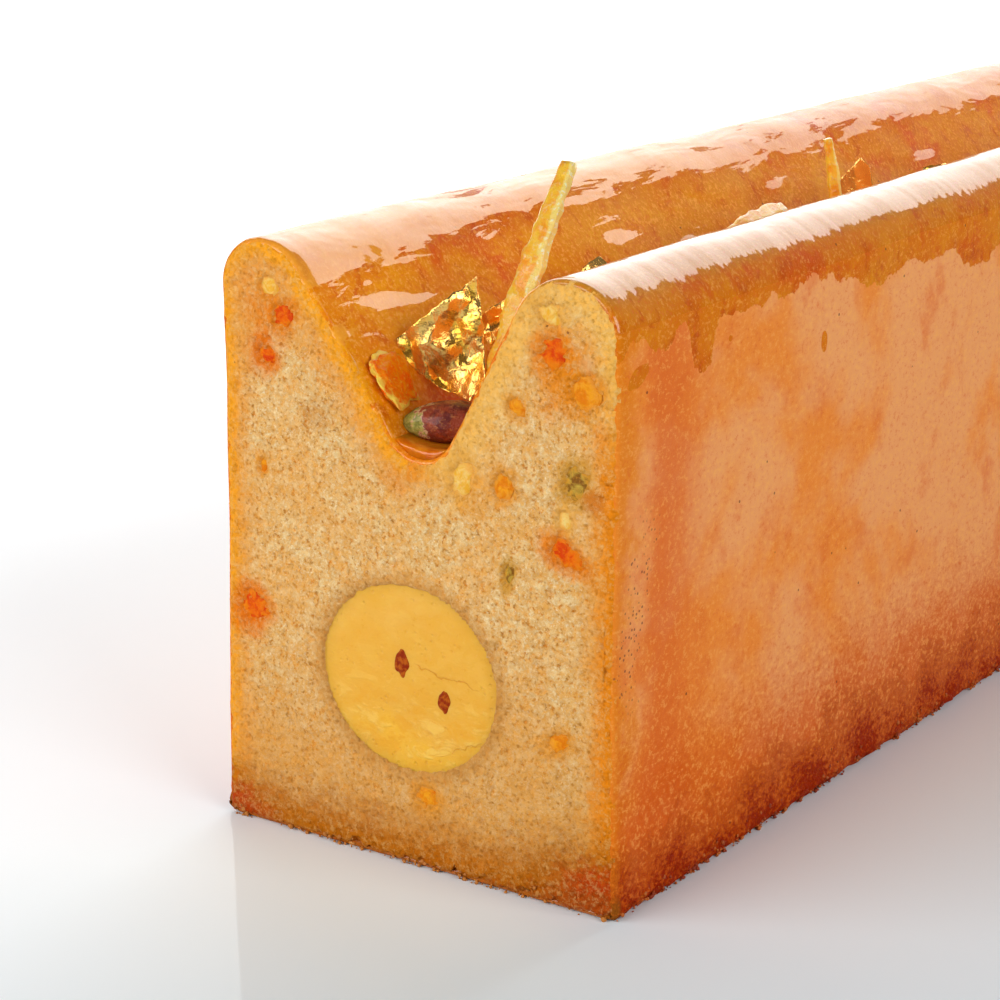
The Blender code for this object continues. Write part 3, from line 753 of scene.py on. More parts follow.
def loaf_outline():
    """The loaf's section from the left foot over both ridges to the right foot, as (x, z)."""
    groove = (GROOVE_X, GROOVE_FLOOR + GROOVE_RADIUS)
    inner_height = CREST_HEIGHT - RIDGE_INNER_RADIUS
    left_inner = (LEFT_CREST_X, inner_height)
    right_inner = (RIGHT_CREST_X, inner_height)
    left_normal = slope_normal(left_inner, groove, 1)
    right_normal = slope_normal(right_inner, groove, -1) % 360
    left_radius = LEFT_TOP_HALF_WIDTH + LEFT_CREST_X
    right_radius = BASE_HALF_WIDTH - RIGHT_CREST_X
    outline = [(-BASE_HALF_WIDTH + FOOT_WIDTH, 0), (-BASE_HALF_WIDTH + 0.4, 0)]
    for level in SIDE_LEVELS:
        lean = (BASE_HALF_WIDTH - LEFT_TOP_HALF_WIDTH) * level / SIDE_LEVELS[-1]
        outline.append((-BASE_HALF_WIDTH + lean, level))
    outline += arc((LEFT_CREST_X, CREST_HEIGHT - left_radius), left_radius, 180, 90, 16)
    outline += arc(left_inner, RIDGE_INNER_RADIUS, 90, left_normal, 14)[1:]
    outline += arc(groove, GROOVE_RADIUS, 180 + left_normal, 180 + right_normal, 20)
    outline += arc(right_inner, RIDGE_INNER_RADIUS, right_normal, 90, 14)
    outline += arc((RIGHT_CREST_X, CREST_HEIGHT - right_radius), right_radius, 90, 0, 18)[1:]
    outline += [(BASE_HALF_WIDTH, level) for level in reversed(SIDE_LEVELS)]
    outline += [(BASE_HALF_WIDTH - 0.4, 0), (BASE_HALF_WIDTH - FOOT_WIDTH, 0)]
    return outline


def outline_loop(bm, y, step):
    """The section as a closed loop of edges at y, with each point's way into the loaf kept on it."""
    inward = bm.verts.layers.float_vector.new("inward")
    verts = [bm.verts.new((x * MM, y, z * MM)) for x, z in loaf_outline()]
    edges = [bm.edges.new(pair) for pair in zip(verts, verts[1:] + verts[:1])]
    for edge in edges:
        on_base = all(v.co.z == 0 for v in edge.verts)
        cuts = int(edge.calc_length() / (step * (8 if on_base else 1)))
        if cuts:
            bmesh.ops.subdivide_edges(bm, edges=[edge], cuts=cuts)
    bm.verts.ensure_lookup_table()
    for vert in bm.verts:
        ends = [edge.other_vert(vert).co for edge in vert.link_edges]
        side = (ends[1] - ends[0]).normalized()
        normal = Vector((side.z, 0, -side.x))
        probe = vert.co + normal * 0.01 * MM
        if not inside_section(probe.x / MM, probe.z / MM):
            normal = -normal
        vert[inward] = normal
    return inward


def inside_section(x, z):
    """Whether a point lies within the section, by counting the sides crossed above it."""
    inside = False
    for (x1, z1), (x2, z2) in zip(SECTION, SECTION[1:] + SECTION[:1]):
        if (x1 > x) != (x2 > x) and z < z1 + (z2 - z1) * (x - x1) / (x2 - x1):
            inside = not inside
    return inside


SECTION = loaf_outline()


def ruffled(place):
    """A point of the section after the waves of the frame's crust, and a little more."""
    x, y, z = place
    if z < 2 * MM:
        return place.copy()
    wave = noise.noise(Vector((x * 60, y * 45, z * 60))) * CRUST_WAVE * MM
    moved = place.copy()
    moved.z += wave * z / (CREST_HEIGHT * MM)
    if abs(x) < LEFT_TOP_HALF_WIDTH * MM:
        moved.x += wave
    else:
        moved.x -= math.copysign(abs(wave), x)
    return moved


# Pieces


# Steps of the crust's lip, out along the loaf and into it, as shares of the lip
LIP_STEPS = ((0.55, 0.12), (0.35, 0.30), (0.10, 0.45), (-0.9, 0.5), (-1.8, 0.4))


def build_crust(sizes, colours):
    """The glazed skin of the loaf, with rounded lips at the cuts and a torn foot."""
    bm = bmesh.new()
    start = FRONT + sizes.lip
    inward = outline_loop(bm, start, sizes.crust_step)
    length = BACK - FRONT - 2 * sizes.lip
    draw_along(bm, length, round(length / sizes.crust_pitch) - 1)
    for end, sign in ((start, -1), (start + length, 1)):
        rim = open_rim(bm, end)
        for out, into in LIP_STEPS:
            rim, verts = grow(bm, rim)
            for vert in verts:
                vert.co += vert[inward] * into * sizes.lip
                vert.co.y += sign * out * sizes.lip
        bmesh.ops.edgeloop_fill(bm, edges=rim)
    bm.normal_update()
    for vert in bm.verts:
        x, y, z = vert.co / MM
        moved = ruffled(vert.co)
        torn = 1 - smoothstep(0.5, 5, z)
        if torn > 0 and abs(x) > BASE_HALF_WIDTH - FOOT_WIDTH:
            bite = noise_at(x, y, z, 0.9) + 0.7 * noise_at(x, y, z, 2.1, 5)
            moved.x += math.copysign(bite * sizes.foot * torn, x)
            if z < 1:
                moved.z += abs(noise_at(x, y, z, 0.6, 9)) * sizes.foot
        if z > 2:
            fine = noise_at(x * 0.25, y, z * 0.25, 0.5, 3)
            moved -= vert[inward] * fine * 0.03 * MM
            sag = noise_at(x * 1.2, y * 0.35, z * 1.2, 0.24, 7)
            moved -= vert[inward] * sag * 0.14 * smoothstep(58, 66, z if abs(x) > 20 else 66) * MM
        vert.co = moved
    crust = piece_from(bm, "crust", ridge_material(colours), ["cake"])
    crust.data.materials.append(side_material(colours))
    for face in crust.data.polygons:
        middle = face.center / MM
        if middle.z < SIDE_TOP and abs(middle.x) > SIDE_X:
            face.material_index = 1
    return crust


# Lumps at the cuts: node ending, millimetres across and up, width, height, tilt, and kind
FRONT_LUMPS = (
    ("left_ridge_peel", -19.5, 66.5, 2.8, 3.0, -25, "peel"),
    ("left_ridge_fruit", -17.6, 63.4, 4.0, 3.0, -30, "fruit"),
    ("left_fleck", -20.0, 58.6, 3.2, 2.7, 40, "fruit"),
    ("left_sliver", -21.0, 45.3, 1.4, 2.6, 8, "amber"),
    ("left_low", -23.0, 27.5, 4.6, 4.6, 35, "fruit"),
    ("right_ridge_peel", 19.2, 68.0, 4.4, 2.9, 10, "peel"),
    ("right_ridge_fruit", 19.4, 63.9, 4.2, 4.6, 25, "fruit"),
    ("right_neck", 23.6, 60.0, 4.4, 4.8, -25, "amber"),
    ("slope_spot", 14.8, 57.2, 2.7, 2.4, 30, "amber"),
    ("under_groove", 7.5, 48.0, 3.4, 5.2, 14, "peel"),
    ("middle", 13.1, 48.1, 3.0, 4.0, 8, "amber"),
    ("nut_shoulder", 22.6, 50.0, 3.8, 4.6, 10, "pistachio"),
    ("peel_stick", 21.2, 45.6, 2.2, 3.0, 5, "peel"),
    ("crescent", 21.4, 41.8, 5.6, 3.2, 28, "fruit"),
    ("nut_fleck", 13.9, 38.1, 1.6, 3.8, 8, "pistachio"),
    ("right_low", 20.7, 19.7, 3.8, 2.8, -25, "amber"),
    ("below_filling", 2.5, 9.0, 3.8, 3.2, 0, "amber"),
)
BACK_LUMPS = (
    ("right_ridge", 20.4, 65.4, 5.0, 5.2, 25, "fruit"),
    ("left_neck", -21.6, 59.6, 4.6, 6.2, -20, "fruit"),
    ("left_shoulder", -22.6, 45.2, 4.0, 4.6, 12, "pistachio"),
    ("middle", -10.2, 44.8, 3.8, 5.0, 18, "peel"),
    ("right_shoulder", 21.4, 43.0, 5.6, 4.4, -24, "fruit"),
    ("right_low", 19.0, 14.6, 4.2, 3.6, -15, "fruit"),
    ("left_low", -20.8, 11.8, 3.4, 3.2, 10, "pistachio"),
    ("below_filling", -2.6, 6.8, 4.4, 3.2, 8, "amber"),
)

# Deep and light colours of what is baked in, and of its edge and the crumb round it
BAKED = {
    "fruit": ((0.70, 0.055, 0.001), (0.84, 0.16, 0.002), (0.84, 0.22, 0.006)),
    "amber": ((0.76, 0.20, 0.003), (0.88, 0.35, 0.012), (0.84, 0.32, 0.03)),
    "peel": ((0.86, 0.42, 0.03), (0.93, 0.64, 0.20), (0.88, 0.42, 0.07)),
    "pistachio": ((0.24, 0.09, 0.01), (0.56, 0.36, 0.05), (0.66, 0.30, 0.03)),
}
ORANGE = (0.86, 0.26, 0.02)
YELLOW = (0.92, 0.50, 0.05)
BROWN = (0.50, 0.17, 0.03)
CREAM = (0.96, 0.80, 0.46)

# Stains in the crumb: millimetres across and up, width, height, tilt, colour, strength
FRONT_STAINS = (
    (-12.9, 52.5, 5.3, 4.8, 10, BROWN, 0.35),
    (-1.8, 46.5, 4.4, 3.6, 20, ORANGE, 0.45),
    (25.7, 55.6, 2.4, 4.8, 0, ORANGE, 0.55),
    (23.9, 63.2, 2.0, 2.2, 0, CREAM, 0.8),
    (25.0, 48.4, 3.4, 3.6, -30, (0.62, 0.15, 0.01), 0.7),
    (-5.3, 4.3, 3.4, 4.2, 20, BROWN, 0.4),
    (21.6, 61.5, 8.5, 12.0, 25, (0.84, 0.24, 0.002), 0.8),
    (-19.6, 64.0, 7.5, 10.0, -20, (0.84, 0.22, 0.006), 0.7),
    (-20.4, 58.6, 5.6, 6.4, 0, (0.82, 0.17, 0.004), 0.75),
    (-23.6, 27.0, 7.0, 8.5, 20, (0.84, 0.17, 0.003), 0.7),
    (20.6, 41.6, 7.0, 4.6, 28, (0.84, 0.20, 0.004), 0.6),
    (9.4, 46.5, 6.0, 7.0, 20, (0.88, 0.34, 0.03), 0.6),
)


def oval(x, z, centre_x, centre_z, width, height, tilt):
    """Distance from an oval's centre, 1 on its edge."""
    turn = math.radians(tilt)
    dx, dz = x - centre_x, z - centre_z
    across = dx * math.cos(turn) - dz * math.sin(turn)
    up = dx * math.sin(turn) + dz * math.cos(turn)
    return math.hypot(across / (width / 2), up / (height / 2))


def section_tree():
    """Close points of the section, to find how far a point lies from the loaf's side."""
    spots = []
    for (x1, z1), (x2, z2) in zip(SECTION, SECTION[1:] + SECTION[:1]):
        steps = max(1, int(math.hypot(x2 - x1, z2 - z1) / 0.2))
        for i in range(steps):
            spots.append((x1 + (x2 - x1) * i / steps, 0, z1 + (z2 - z1) * i / steps))
    tree = kdtree.KDTree(len(spots))
    for number, spot in enumerate(spots):
        tree.insert(spot, number)
    tree.balance()
    return tree


SIDES = section_tree()


def rim_distance(x, z):
    """Millimetres from a point within the section to its nearest side."""
    return SIDES.find((x, 0, z))[2]


def crumb_look(x, z, lumps, stains):
    """Colour and share of the stain at a point of a cut face."""
    colour, share = Vector(YELLOW), 0.0

    def add(new, amount):
        nonlocal colour, share
        if amount > 0:
            total = share + amount * (1 - share)
            colour = colour.lerp(Vector(new), amount / max(total, 1e-6))
            share = total

    ragged = noise_at(x, 0, z, 0.55) * 0.9 + noise_at(x, 0, z, 1.4, 8) * 0.5
    rim = rim_distance(x, z) + ragged
    high = smoothstep(50, 64, z)
    creamy = smoothstep(-1, 5, x) * max(1 - smoothstep(13, 19, x), high)
    creamy *= smoothstep(43, 50, z)
    add((1.0, 0.57, 0.13), 0.7 * creamy * (1 - smoothstep(1, 7, rim)))
    add((0.88, 0.33, 0.04), 0.8 * (1 - creamy) * (1 - smoothstep(1.5, 5.5 + 4 * high, rim)))
    outer = Vector((1.0, 0.38, 0.01) if x < 0 else (0.88, 0.25, 0.003))
    outer = outer.lerp(Vector((0.96, 0.46, 0.06)), creamy)
    add(outer, 0.95 * (1 - 0.4 * creamy) * (1 - smoothstep(0.8, 3.0 + (x > 0), rim)))
    grainy = noise_at(x, 0, z, 1.9, 12) * 1.6
    low = z + ragged * 1.8 + grainy - 4 * smoothstep(8, 28, x) - 2 * smoothstep(-18, -28, x)
    corner = smoothstep(17, 26, abs(x))
    add((0.47, 0.125, 0.001), 0.95 * (1 - smoothstep(0.5, 9.5, low)))
    add((0.55, 0.04, 0.001), corner * (1 - smoothstep(-0.5, 4.5, low)))
    add((0.40, 0.07, 0.002), 0.8 * (1 - smoothstep(-1.4, 0.8, low)))
    ring = oval(x, z, *FILLING_OVAL)
    add((0.66, 0.29, 0.06), 0.85 * (1 - smoothstep(1.0, 1.2, ring + ragged * 0.03)))
    for _, lump_x, lump_z, width, height, tilt, kind in lumps:
        reach = oval(x, z, lump_x, lump_z, width, height, tilt)
        if reach < 2.4:
            add(BAKED[kind][2], 0.85 * (1 - smoothstep(0.8, 1.8, reach + ragged * 0.3)))
    for stain_x, stain_z, width, height, tilt, tone, strength in stains:
        reach = oval(x, z, stain_x, stain_z, width, height, tilt)
        if reach < 1.6:
            add(tone, strength * (1 - smoothstep(0.35, 1.25, reach + ragged * 0.3)))
    return colour, share


# How deep behind the cut the slab of open crumb starts, and how thick it is, in millimetres
CRUMB_DEPTH = 1.6
SLAB_THICKNESS = 1.8


def open_slab(end, sign, sizes):
    """A slab behind one cut, in an even grid of small faces."""
    bm = bmesh.new()
    inward = outline_loop(bm, end - sign * CRUMB_DEPTH * MM, 1.0 * MM)
    for vert in bm.verts:
        vert.co += vert[inward] * 0.1 * sizes.lip
    base = bmesh.ops.contextual_create(bm, geom=bm.edges[:])["faces"]
    drawn = bmesh.ops.extrude_face_region(bm, geom=base)["geom"]
    far = [v for v in drawn if isinstance(v, bmesh.types.BMVert)]
    bmesh.ops.translate(bm, vec=(0, sign * SLAB_THICKNESS * MM, 0), verts=far)
    bmesh.ops.recalc_face_normals(bm, faces=bm.faces)
    slab = object_from(bm, "slab")
    remesh = slab.modifiers.new("Crumb", "REMESH")
    remesh.mode = "VOXEL"
    remesh.voxel_size = sizes.crumb_grain
    graph = bpy.context.evaluated_depsgraph_get()
    mesh = bpy.data.meshes.new_from_object(slab.evaluated_get(graph))
    bpy.data.objects.remove(slab)
    bm = bmesh.new()
    bm.from_mesh(mesh)
    bpy.data.meshes.remove(mesh)
    return bm


def cut_face(name, end, sizes, colours, lumps, stains):
    """The open crumb of one cut end, pitted, dipping to what is baked into it."""
    sign = 1 if end > 0 else -1
    bm = open_slab(end, sign, sizes)
    stain = bm.verts.layers.float_color.new("stain")
    stain_share = bm.verts.layers.float.new("stain_share")
    for vert in bm.verts:
        x, y, z = vert.co / MM
        outer = smoothstep(-0.6, 0.1, sign * (y - end / MM))
        vert.co = ruffled(vert.co)
        if outer <= 0:
            continue
        tone, share = crumb_look(x, z, lumps, stains)
        vert[stain] = (*tone, 1)
        vert[stain_share] = share
        ring = oval(x, z, *FILLING_OVAL) + 0.012 * noise_at(x, 0, z, 0.8, 2)
        ring = 1 - smoothstep(0.965, 0.99, ring)
        dip = ring
        for _, lump_x, lump_z, width, height, tilt, _ in lumps:
            reach = oval(x, z, lump_x, lump_z, width, height, tilt)
            if reach < 1.6:
                reach += noise_at(x, 0, z, 0.8, 4) * 0.45 + noise_at(x, 0, z, 2.2, 7) * 0.25
                dip = max(dip, 1 - smoothstep(0.74, 0.9, reach))
        relief = noise_at(x, 0, z, 0.75) + 0.8 * noise_at(x, 0, z, 1.5, 3)
        near, _ = noise.voronoi(Vector((x * 0.55, 0.5, z * 0.55)))
        pit = 1 - smoothstep(0.05, 0.32, near[0])
        proud = 0.05 + relief * sizes.crumb_relief / MM - 0.35 * pit
        proud -= 0.55 * (1 - smoothstep(-0.1, 1.0, rim_distance(x, z)))
        vert.co.y += sign * outer * (proud * (1 - dip) - 0.4 * dip - 0.2 * ring) * MM
        torn = max(0, noise_at(x, 0, z, 0.7, 9) + 0.6 * noise_at(x, 0, z, 1.7, 3))
        vert.co.z += torn * (1 - smoothstep(0, 2.5, z)) * 1.6 * MM
    return piece_from(bm, name, crumb_material(colours), [])


def baked_lumps(name, nodes, rows, end, material):
    """Soft lumps of one kind, cut flush with a cut face, with their rims marked."""
    sign = 1 if end > 0 else -1
    bm = bmesh.new()
    rim = bm.verts.layers.float.new("rim")
    for _, x, z, width, height, tilt, _ in rows:
        made = bmesh.ops.create_icosphere(bm, subdivisions=4, radius=0.5)["verts"]
        offset = Vector((x, 0, z))
        for vert in made:
            flat = vert.co.copy()
            swell = 1 + 0.25 * noise.noise(flat * 2.6 + offset)
            swell += 0.09 * noise.noise(flat * 8 + offset)
            vert[rim] = 2 * math.hypot(flat.x, flat.z)
            flush = math.copysign(abs(2 * flat.y) ** 0.15 / 2, flat.y)
            vert.co = (flat.x * swell, flush, flat.z * swell)
        bmesh.ops.scale(bm, vec=(width * MM, 2 * MM, height * MM), verts=made)
        set_in_place(bm, made, (x * MM, end - sign * 1.05 * MM, z * MM), (0, tilt, 0))
    return piece_from(bm, name, material, nodes)


def build_filling(colours):
    """The filling bar, with slightly uneven ends; the pips in the front one are built apart."""
    bm = bmesh.new()
    bmesh.ops.create_circle(bm, cap_ends=False, segments=120, radius=1)
    rim_layer = bm.verts.layers.float.new("rim")
    for vert in bm.verts:
        across, up = vert.co.x * FILLING_WIDTH / 2, vert.co.y * FILLING_HEIGHT / 2
        vert.co = (across * MM, FRONT, (FILLING_Z + up) * MM)
    draw_along(bm, BACK - FRONT, 59)
    for end in (FRONT, BACK):
        rim = open_rim(bm, end)
        middle = Vector((0, end, FILLING_Z * MM))
        share = 1.0
        for ring in range(FILLING_RINGS):
            rim, verts = grow(bm, rim)
            new_share = 1 - (ring + 1) / (FILLING_RINGS + 1) if ring else 0.985
            for vert in verts:
                vert.co = middle + (vert.co - middle) * new_share / share
            share = new_share
        bmesh.ops.edgeloop_fill(bm, edges=rim)
    for vert in bm.verts:
        x, _, z = vert.co / MM
        reach = oval(x, z, *FILLING_OVAL)
        at_end = min(abs(vert.co.y - FRONT), abs(vert.co.y - BACK)) < MM / 10
        vert[rim_layer] = smoothstep(0.84, 1.0, reach) * 0.7 if at_end else 0.6
        if at_end:
            sign = -1 if vert.co.y < 0 else 1
            swell = noise_at(x, 0, z, 0.16, 2) * 0.2 + noise_at(x, 0, z, 0.6, 6) * 0.05
            vert.co.y += sign * (swell * (1 - smoothstep(0.9, 1, reach)) + 0.03) * MM
    return piece_from(bm, "filling_bar", filling_material(colours), ["filling"])


# Pips in the front of the filling: millimetres across and up, width, height and tilt
PIPS = ((-1.0, 24.5, 2.5, 4.3, -6), (4.8, 21.3, 2.0, 3.2, 4))


def build_pips():
    """Dark pips that show in the front end of the filling."""
    bm = bmesh.new()
    for x, z, width, height, tilt in PIPS:
        made = bmesh.ops.create_icosphere(bm, subdivisions=4, radius=0.5)["verts"]
        for vert in made:
            lump = 1 + 0.22 * noise.noise(vert.co * 3.2 + Vector((x, 0, z)))
            pointed = 1 - 0.45 * max(0, vert.co.z * 2) ** 2
            vert.co.x *= pointed
            vert.co = vert.co * lump
            vert.co.y = math.copysign(abs(2 * vert.co.y) ** 0.3 / 2, vert.co.y)
        bmesh.ops.scale(bm, vec=(width * MM, 1.2 * MM, height * MM), verts=made)
        set_in_place(bm, made, (x * MM, FRONT + 0.5 * MM, z * MM), (0, tilt, 0))
    return piece_from(bm, "filling_pips", pip_material(), [])


# Toppings


def from_front(x, distance, z):
    """A point from millimetres: across the loaf, behind the front cut, and above the base."""
    return Vector((x * MM, FRONT + distance * MM, z * MM))


def along(points, t):
    """Point and direction at share t of a smooth line through three points."""
    start, middle, end = points
    bend = 2 * middle - (start + end) / 2
    place = (1 - t) ** 2 * start + 2 * t * (1 - t) * bend + t**2 * end
    heading = (1 - t) * (bend - start) + t * (end - bend)
    return place, heading.normalized()


# Strips of peel: name, a line of three points, width and thickness in millimetres, facing, twist
STRIPS = (
    (
        "peel_front", ((3.7, 11.0, 51.6), (4.5, 15.4, 64.6), (4.3, 25.8, 79.3)),
        3.8, 1.6, (-0.2, -1, 0.6), 0.25,
    ),
    (
        "peel_leaning", ((5.8, 52.0, 53.6), (3.6, 64.0, 63.6), (2.0, 80.6, 66.0)),
        3.4, 1.6, (0.5, -0.4, 1), 0.2,
    ),
    (
        "peel_upright", ((0.6, 98.4, 50.4), (1.2, 97.8, 62.0), (0.0, 96.6, 73.2)),
        2.2, 1.5, (0.6, -1, 0), 0.4,
    ),
    (
        "peel_hooked", ((2.2, 101.4, 50.6), (3.2, 104.4, 57.0), (2.6, 109.6, 60.4)),
        2.2, 1.4, (0.6, -0.5, 0.6), -0.3,
    ),
    (
        "peel_far_leaning", ((-1.6, 150.0, 51.6), (-2.4, 160.0, 57.2), (-2.0, 173.0, 64.4)),
        3.6, 1.7, (-0.4, -0.5, 1), -0.2,
    ),
    (
        "peel_far_upright", ((1.4, 208.6, 50.4), (2.4, 209.4, 62.0), (3.8, 214.0, 74.2)),
        3.0, 1.5, (0.4, -1, 0.3), 0.3,
    ),
)
STRIP_SEGMENTS = 60


def peel_strip(name, points, width, thickness, face, twist, material):
    """A strip of candied peel along a bent line, broad side to face, tapering to its far end."""
    bm = bmesh.new()
    pith = bm.verts.layers.float.new("pith")
    bmesh.ops.create_cube(bm, size=1)
    uprights = [e for e in bm.edges if abs(e.verts[0].co.z - e.verts[1].co.z) > 0.5]
    bmesh.ops.bevel(
        bm, geom=uprights, offset=0.24, segments=3, profile=0.5, affect="EDGES", material=-1
    )
    for axis in ((1, 0, 0), (0, 1, 0)):
        for share in (-0.18, 0.0, 0.18):
            slice_mesh(bm, Vector(axis) * share, axis)
    for i in range(1, STRIP_SEGMENTS):
        slice_mesh(bm, (0, 0, i / STRIP_SEGMENTS - 0.5), (0, 0, 1))
    seed = points[0].y * 300
    for vert in bm.verts:
        flat = vert.co.copy()
        t = flat.z + 0.5
        place, heading = along(points, t)
        across = heading.cross(face).normalized()
        across.rotate(Matrix.Rotation(twist * t, 3, heading))
        out = across.cross(heading).normalized()
        taper = 1 - 0.55 * t**2.5
        uneven = 1 + 0.16 * noise.noise(Vector((t * 7, seed, 0)))
        edge = 1 + 0.22 * noise.noise(Vector((t * 26, seed + flat.x * 2, flat.y * 2)))
        vert[pith] = smoothstep(0.0, 0.45, flat.x + 0.12 * noise.noise(Vector((t * 12, seed, 3))))
        vert.co = place
        vert.co += across * flat.x * width * taper * uneven * edge
        vert.co += out * flat.y * thickness * (1 - 0.3 * t) * uneven * edge
    return piece_from(bm, name + "_strip", material, [name])


# Pistachios: name, centre, length, width and height in millimetres, and turn in degrees
KERNELS = (
    ("pistachio_front", (1.0, 5.7, 52.4), (9.8, 5.8, 5.0), (94, 0, -65)),
    ("pistachio_second", (1.4, 44.0, 53.2), (13.6, 6.8, 5.8), (88, 20, 8)),
    ("pistachio_third", (1.6, 131.0, 53.2), (13.2, 6.6, 5.8), (92, -15, -14)),
    ("pistachio_fourth", (1.2, 191.0, 53.2), (13.8, 6.8, 5.6), (88, 10, 170)),
    ("pistachio_last", (1.8, 229.0, 53.3), (12.6, 6.6, 5.6), (86, 0, 22)),
)

# Soft fruit: name, centre, size in millimetres, turn in degrees, and the first one's seed
FRUIT_SEED = 61
FRUITS = (
    ("fruit_front", (-5.1, 4.2, 56.7), (1.6, 6.0, 6.8), (0, -35, 6)),
    ("fruit_second", (-4.4, 52.0, 57.0), (2.4, 10.0, 7.6), (0, -35, -5)),
    ("fruit_third", (7.6, 120.0, 58.2), (2.4, 9.0, 8.0), (0, 29, 4)),
    ("fruit_fourth", (-4.0, 182.0, 56.8), (2.6, 9.6, 8.4), (0, -35, 4)),
    ("fruit_last", (7.4, 222.0, 58.0), (2.4, 8.6, 7.4), (0, 29, -6)),
)


def kernel(name, centre, size, turn, material):
    """A pistachio: an oval body drawn out to a blunt tip, with a seam and a wrinkled skin."""
    bm = bmesh.new()
    bmesh.ops.create_uvsphere(bm, u_segments=56, v_segments=40, radius=0.5)
    bare = bm.verts.layers.float.new("bare")
    for vert in bm.verts:
        share = vert.co.z + 0.5
        vert[bare] = 1 - 2.2 * (1 - share)
        place = vert.co * 4 + Vector((centre.y * 90, 0, 0))
        wrinkle = noise.noise(Vector((place.x * 2.2, place.y * 2.2, place.z * 0.8)))
        wrinkle += 0.5 * noise.noise(place * 3.1)
        vert.co.x *= 1.12 - 0.35 * share
        vert.co.y *= 1.10 - 0.30 * share
        seam = math.exp(-((vert.co.x / 0.07) ** 2)) if vert.co.y > 0 else 0
        vert.co.y *= 1 - 0.10 * seam
        vert.co *= 1 + 0.045 * wrinkle
        vert.co = Vector((a * b for a, b in zip(vert.co, (size[1], size[2], size[0]))))
    set_in_place(bm, bm.verts, centre, turn)
    return piece_from(bm, name + "_kernel", material, [name])


def soft_fruit(name, centre, size, turn, seed, material):
    """A soft slice of candied fruit, pushed out of true, thin and torn at its rim."""
    bm = bmesh.new()
    bmesh.ops.create_icosphere(bm, subdivisions=5, radius=0.5)
    rim = bm.verts.layers.float.new("rim")
    offset = Vector((seed * 3.1, seed * 1.7, seed * 0.9))
    for vert in bm.verts:
        flat = vert.co.copy()
        vert[rim] = (2 * math.hypot(flat.y, flat.z)) ** 3
        squarer = Vector((math.copysign(abs(2 * c) ** 0.75 / 2, c) for c in flat))
        squarer.x = flat.x * (0.9 + 0.5 * noise.noise(flat * 4 + offset))
        swell = 1 + 0.34 * noise.noise(flat * 2.4 + offset)
        swell += 0.18 * noise.noise(flat * 7 + offset)
        vert.co = Vector((a * swell * b for a, b in zip(squarer, size)))
    set_in_place(bm, bm.verts, centre, turn)
    return piece_from(bm, name + "_lump", material, [name])


# Gold leaf, in millimetres
LEAF_CELL = 1.7
LEAF_CRUMPLE = 1.3
FOLD_SLOPES = (0.25, 0.6)
TORN_CORNERS = 6
LARGE_LEAF_CORNERS = (
    (-5.6, -0.4), (-5.2, -2.4), (-2.2, -4.7), (3.3, -7.2), (4.9, -5.2), (4.3, 1.2), (3, 7),
)
# Scraps: name, centre, width and height, folds, turn in degrees and seed. The last one is cut
# to the corners above
LEAVES = (
    ("gold_behind_peel", (0.2, 17.8, 61.8), (4.8, 6.6), 2, (70, 25, 20), 9),
    ("gold_peeping", (2.0, 37.8, 61.9), (5.0, 9.6), 3, (64, -14, 50), 5),
    ("gold_beads", (-0.4, 107.0, 65.0), (5.4, 8.0), 4, (66, 12, 30), 12),
    ("gold_low", (4.4, 119.0, 64.0), (6.0, 6.0), 3, (50, 20, 60), 14),
    ("gold_crumpled", (1.8, 129.6, 61.6), (7.4, 9.6), 4, (64, -14, 35), 21),
    ("gold_far", (0.6, 200.0, 61.4), (9.0, 11.0), 4, (66, 14, 140), 27),
    ("gold_front", (-2.8, 11.2, 60.6), None, 4, (70, 4, 33), 4),
)


def torn_corners(width, height, draw):
    """Corners of a torn scrap, round its middle and in millimetres."""
    corners = []
    for i in range(TORN_CORNERS):
        angle = math.tau * (i + draw.uniform(-0.25, 0.25)) / TORN_CORNERS
        reach = draw.uniform(0.42, 0.55)
        corners.append((width * reach * math.cos(angle), height * reach * math.sin(angle)))
    return corners


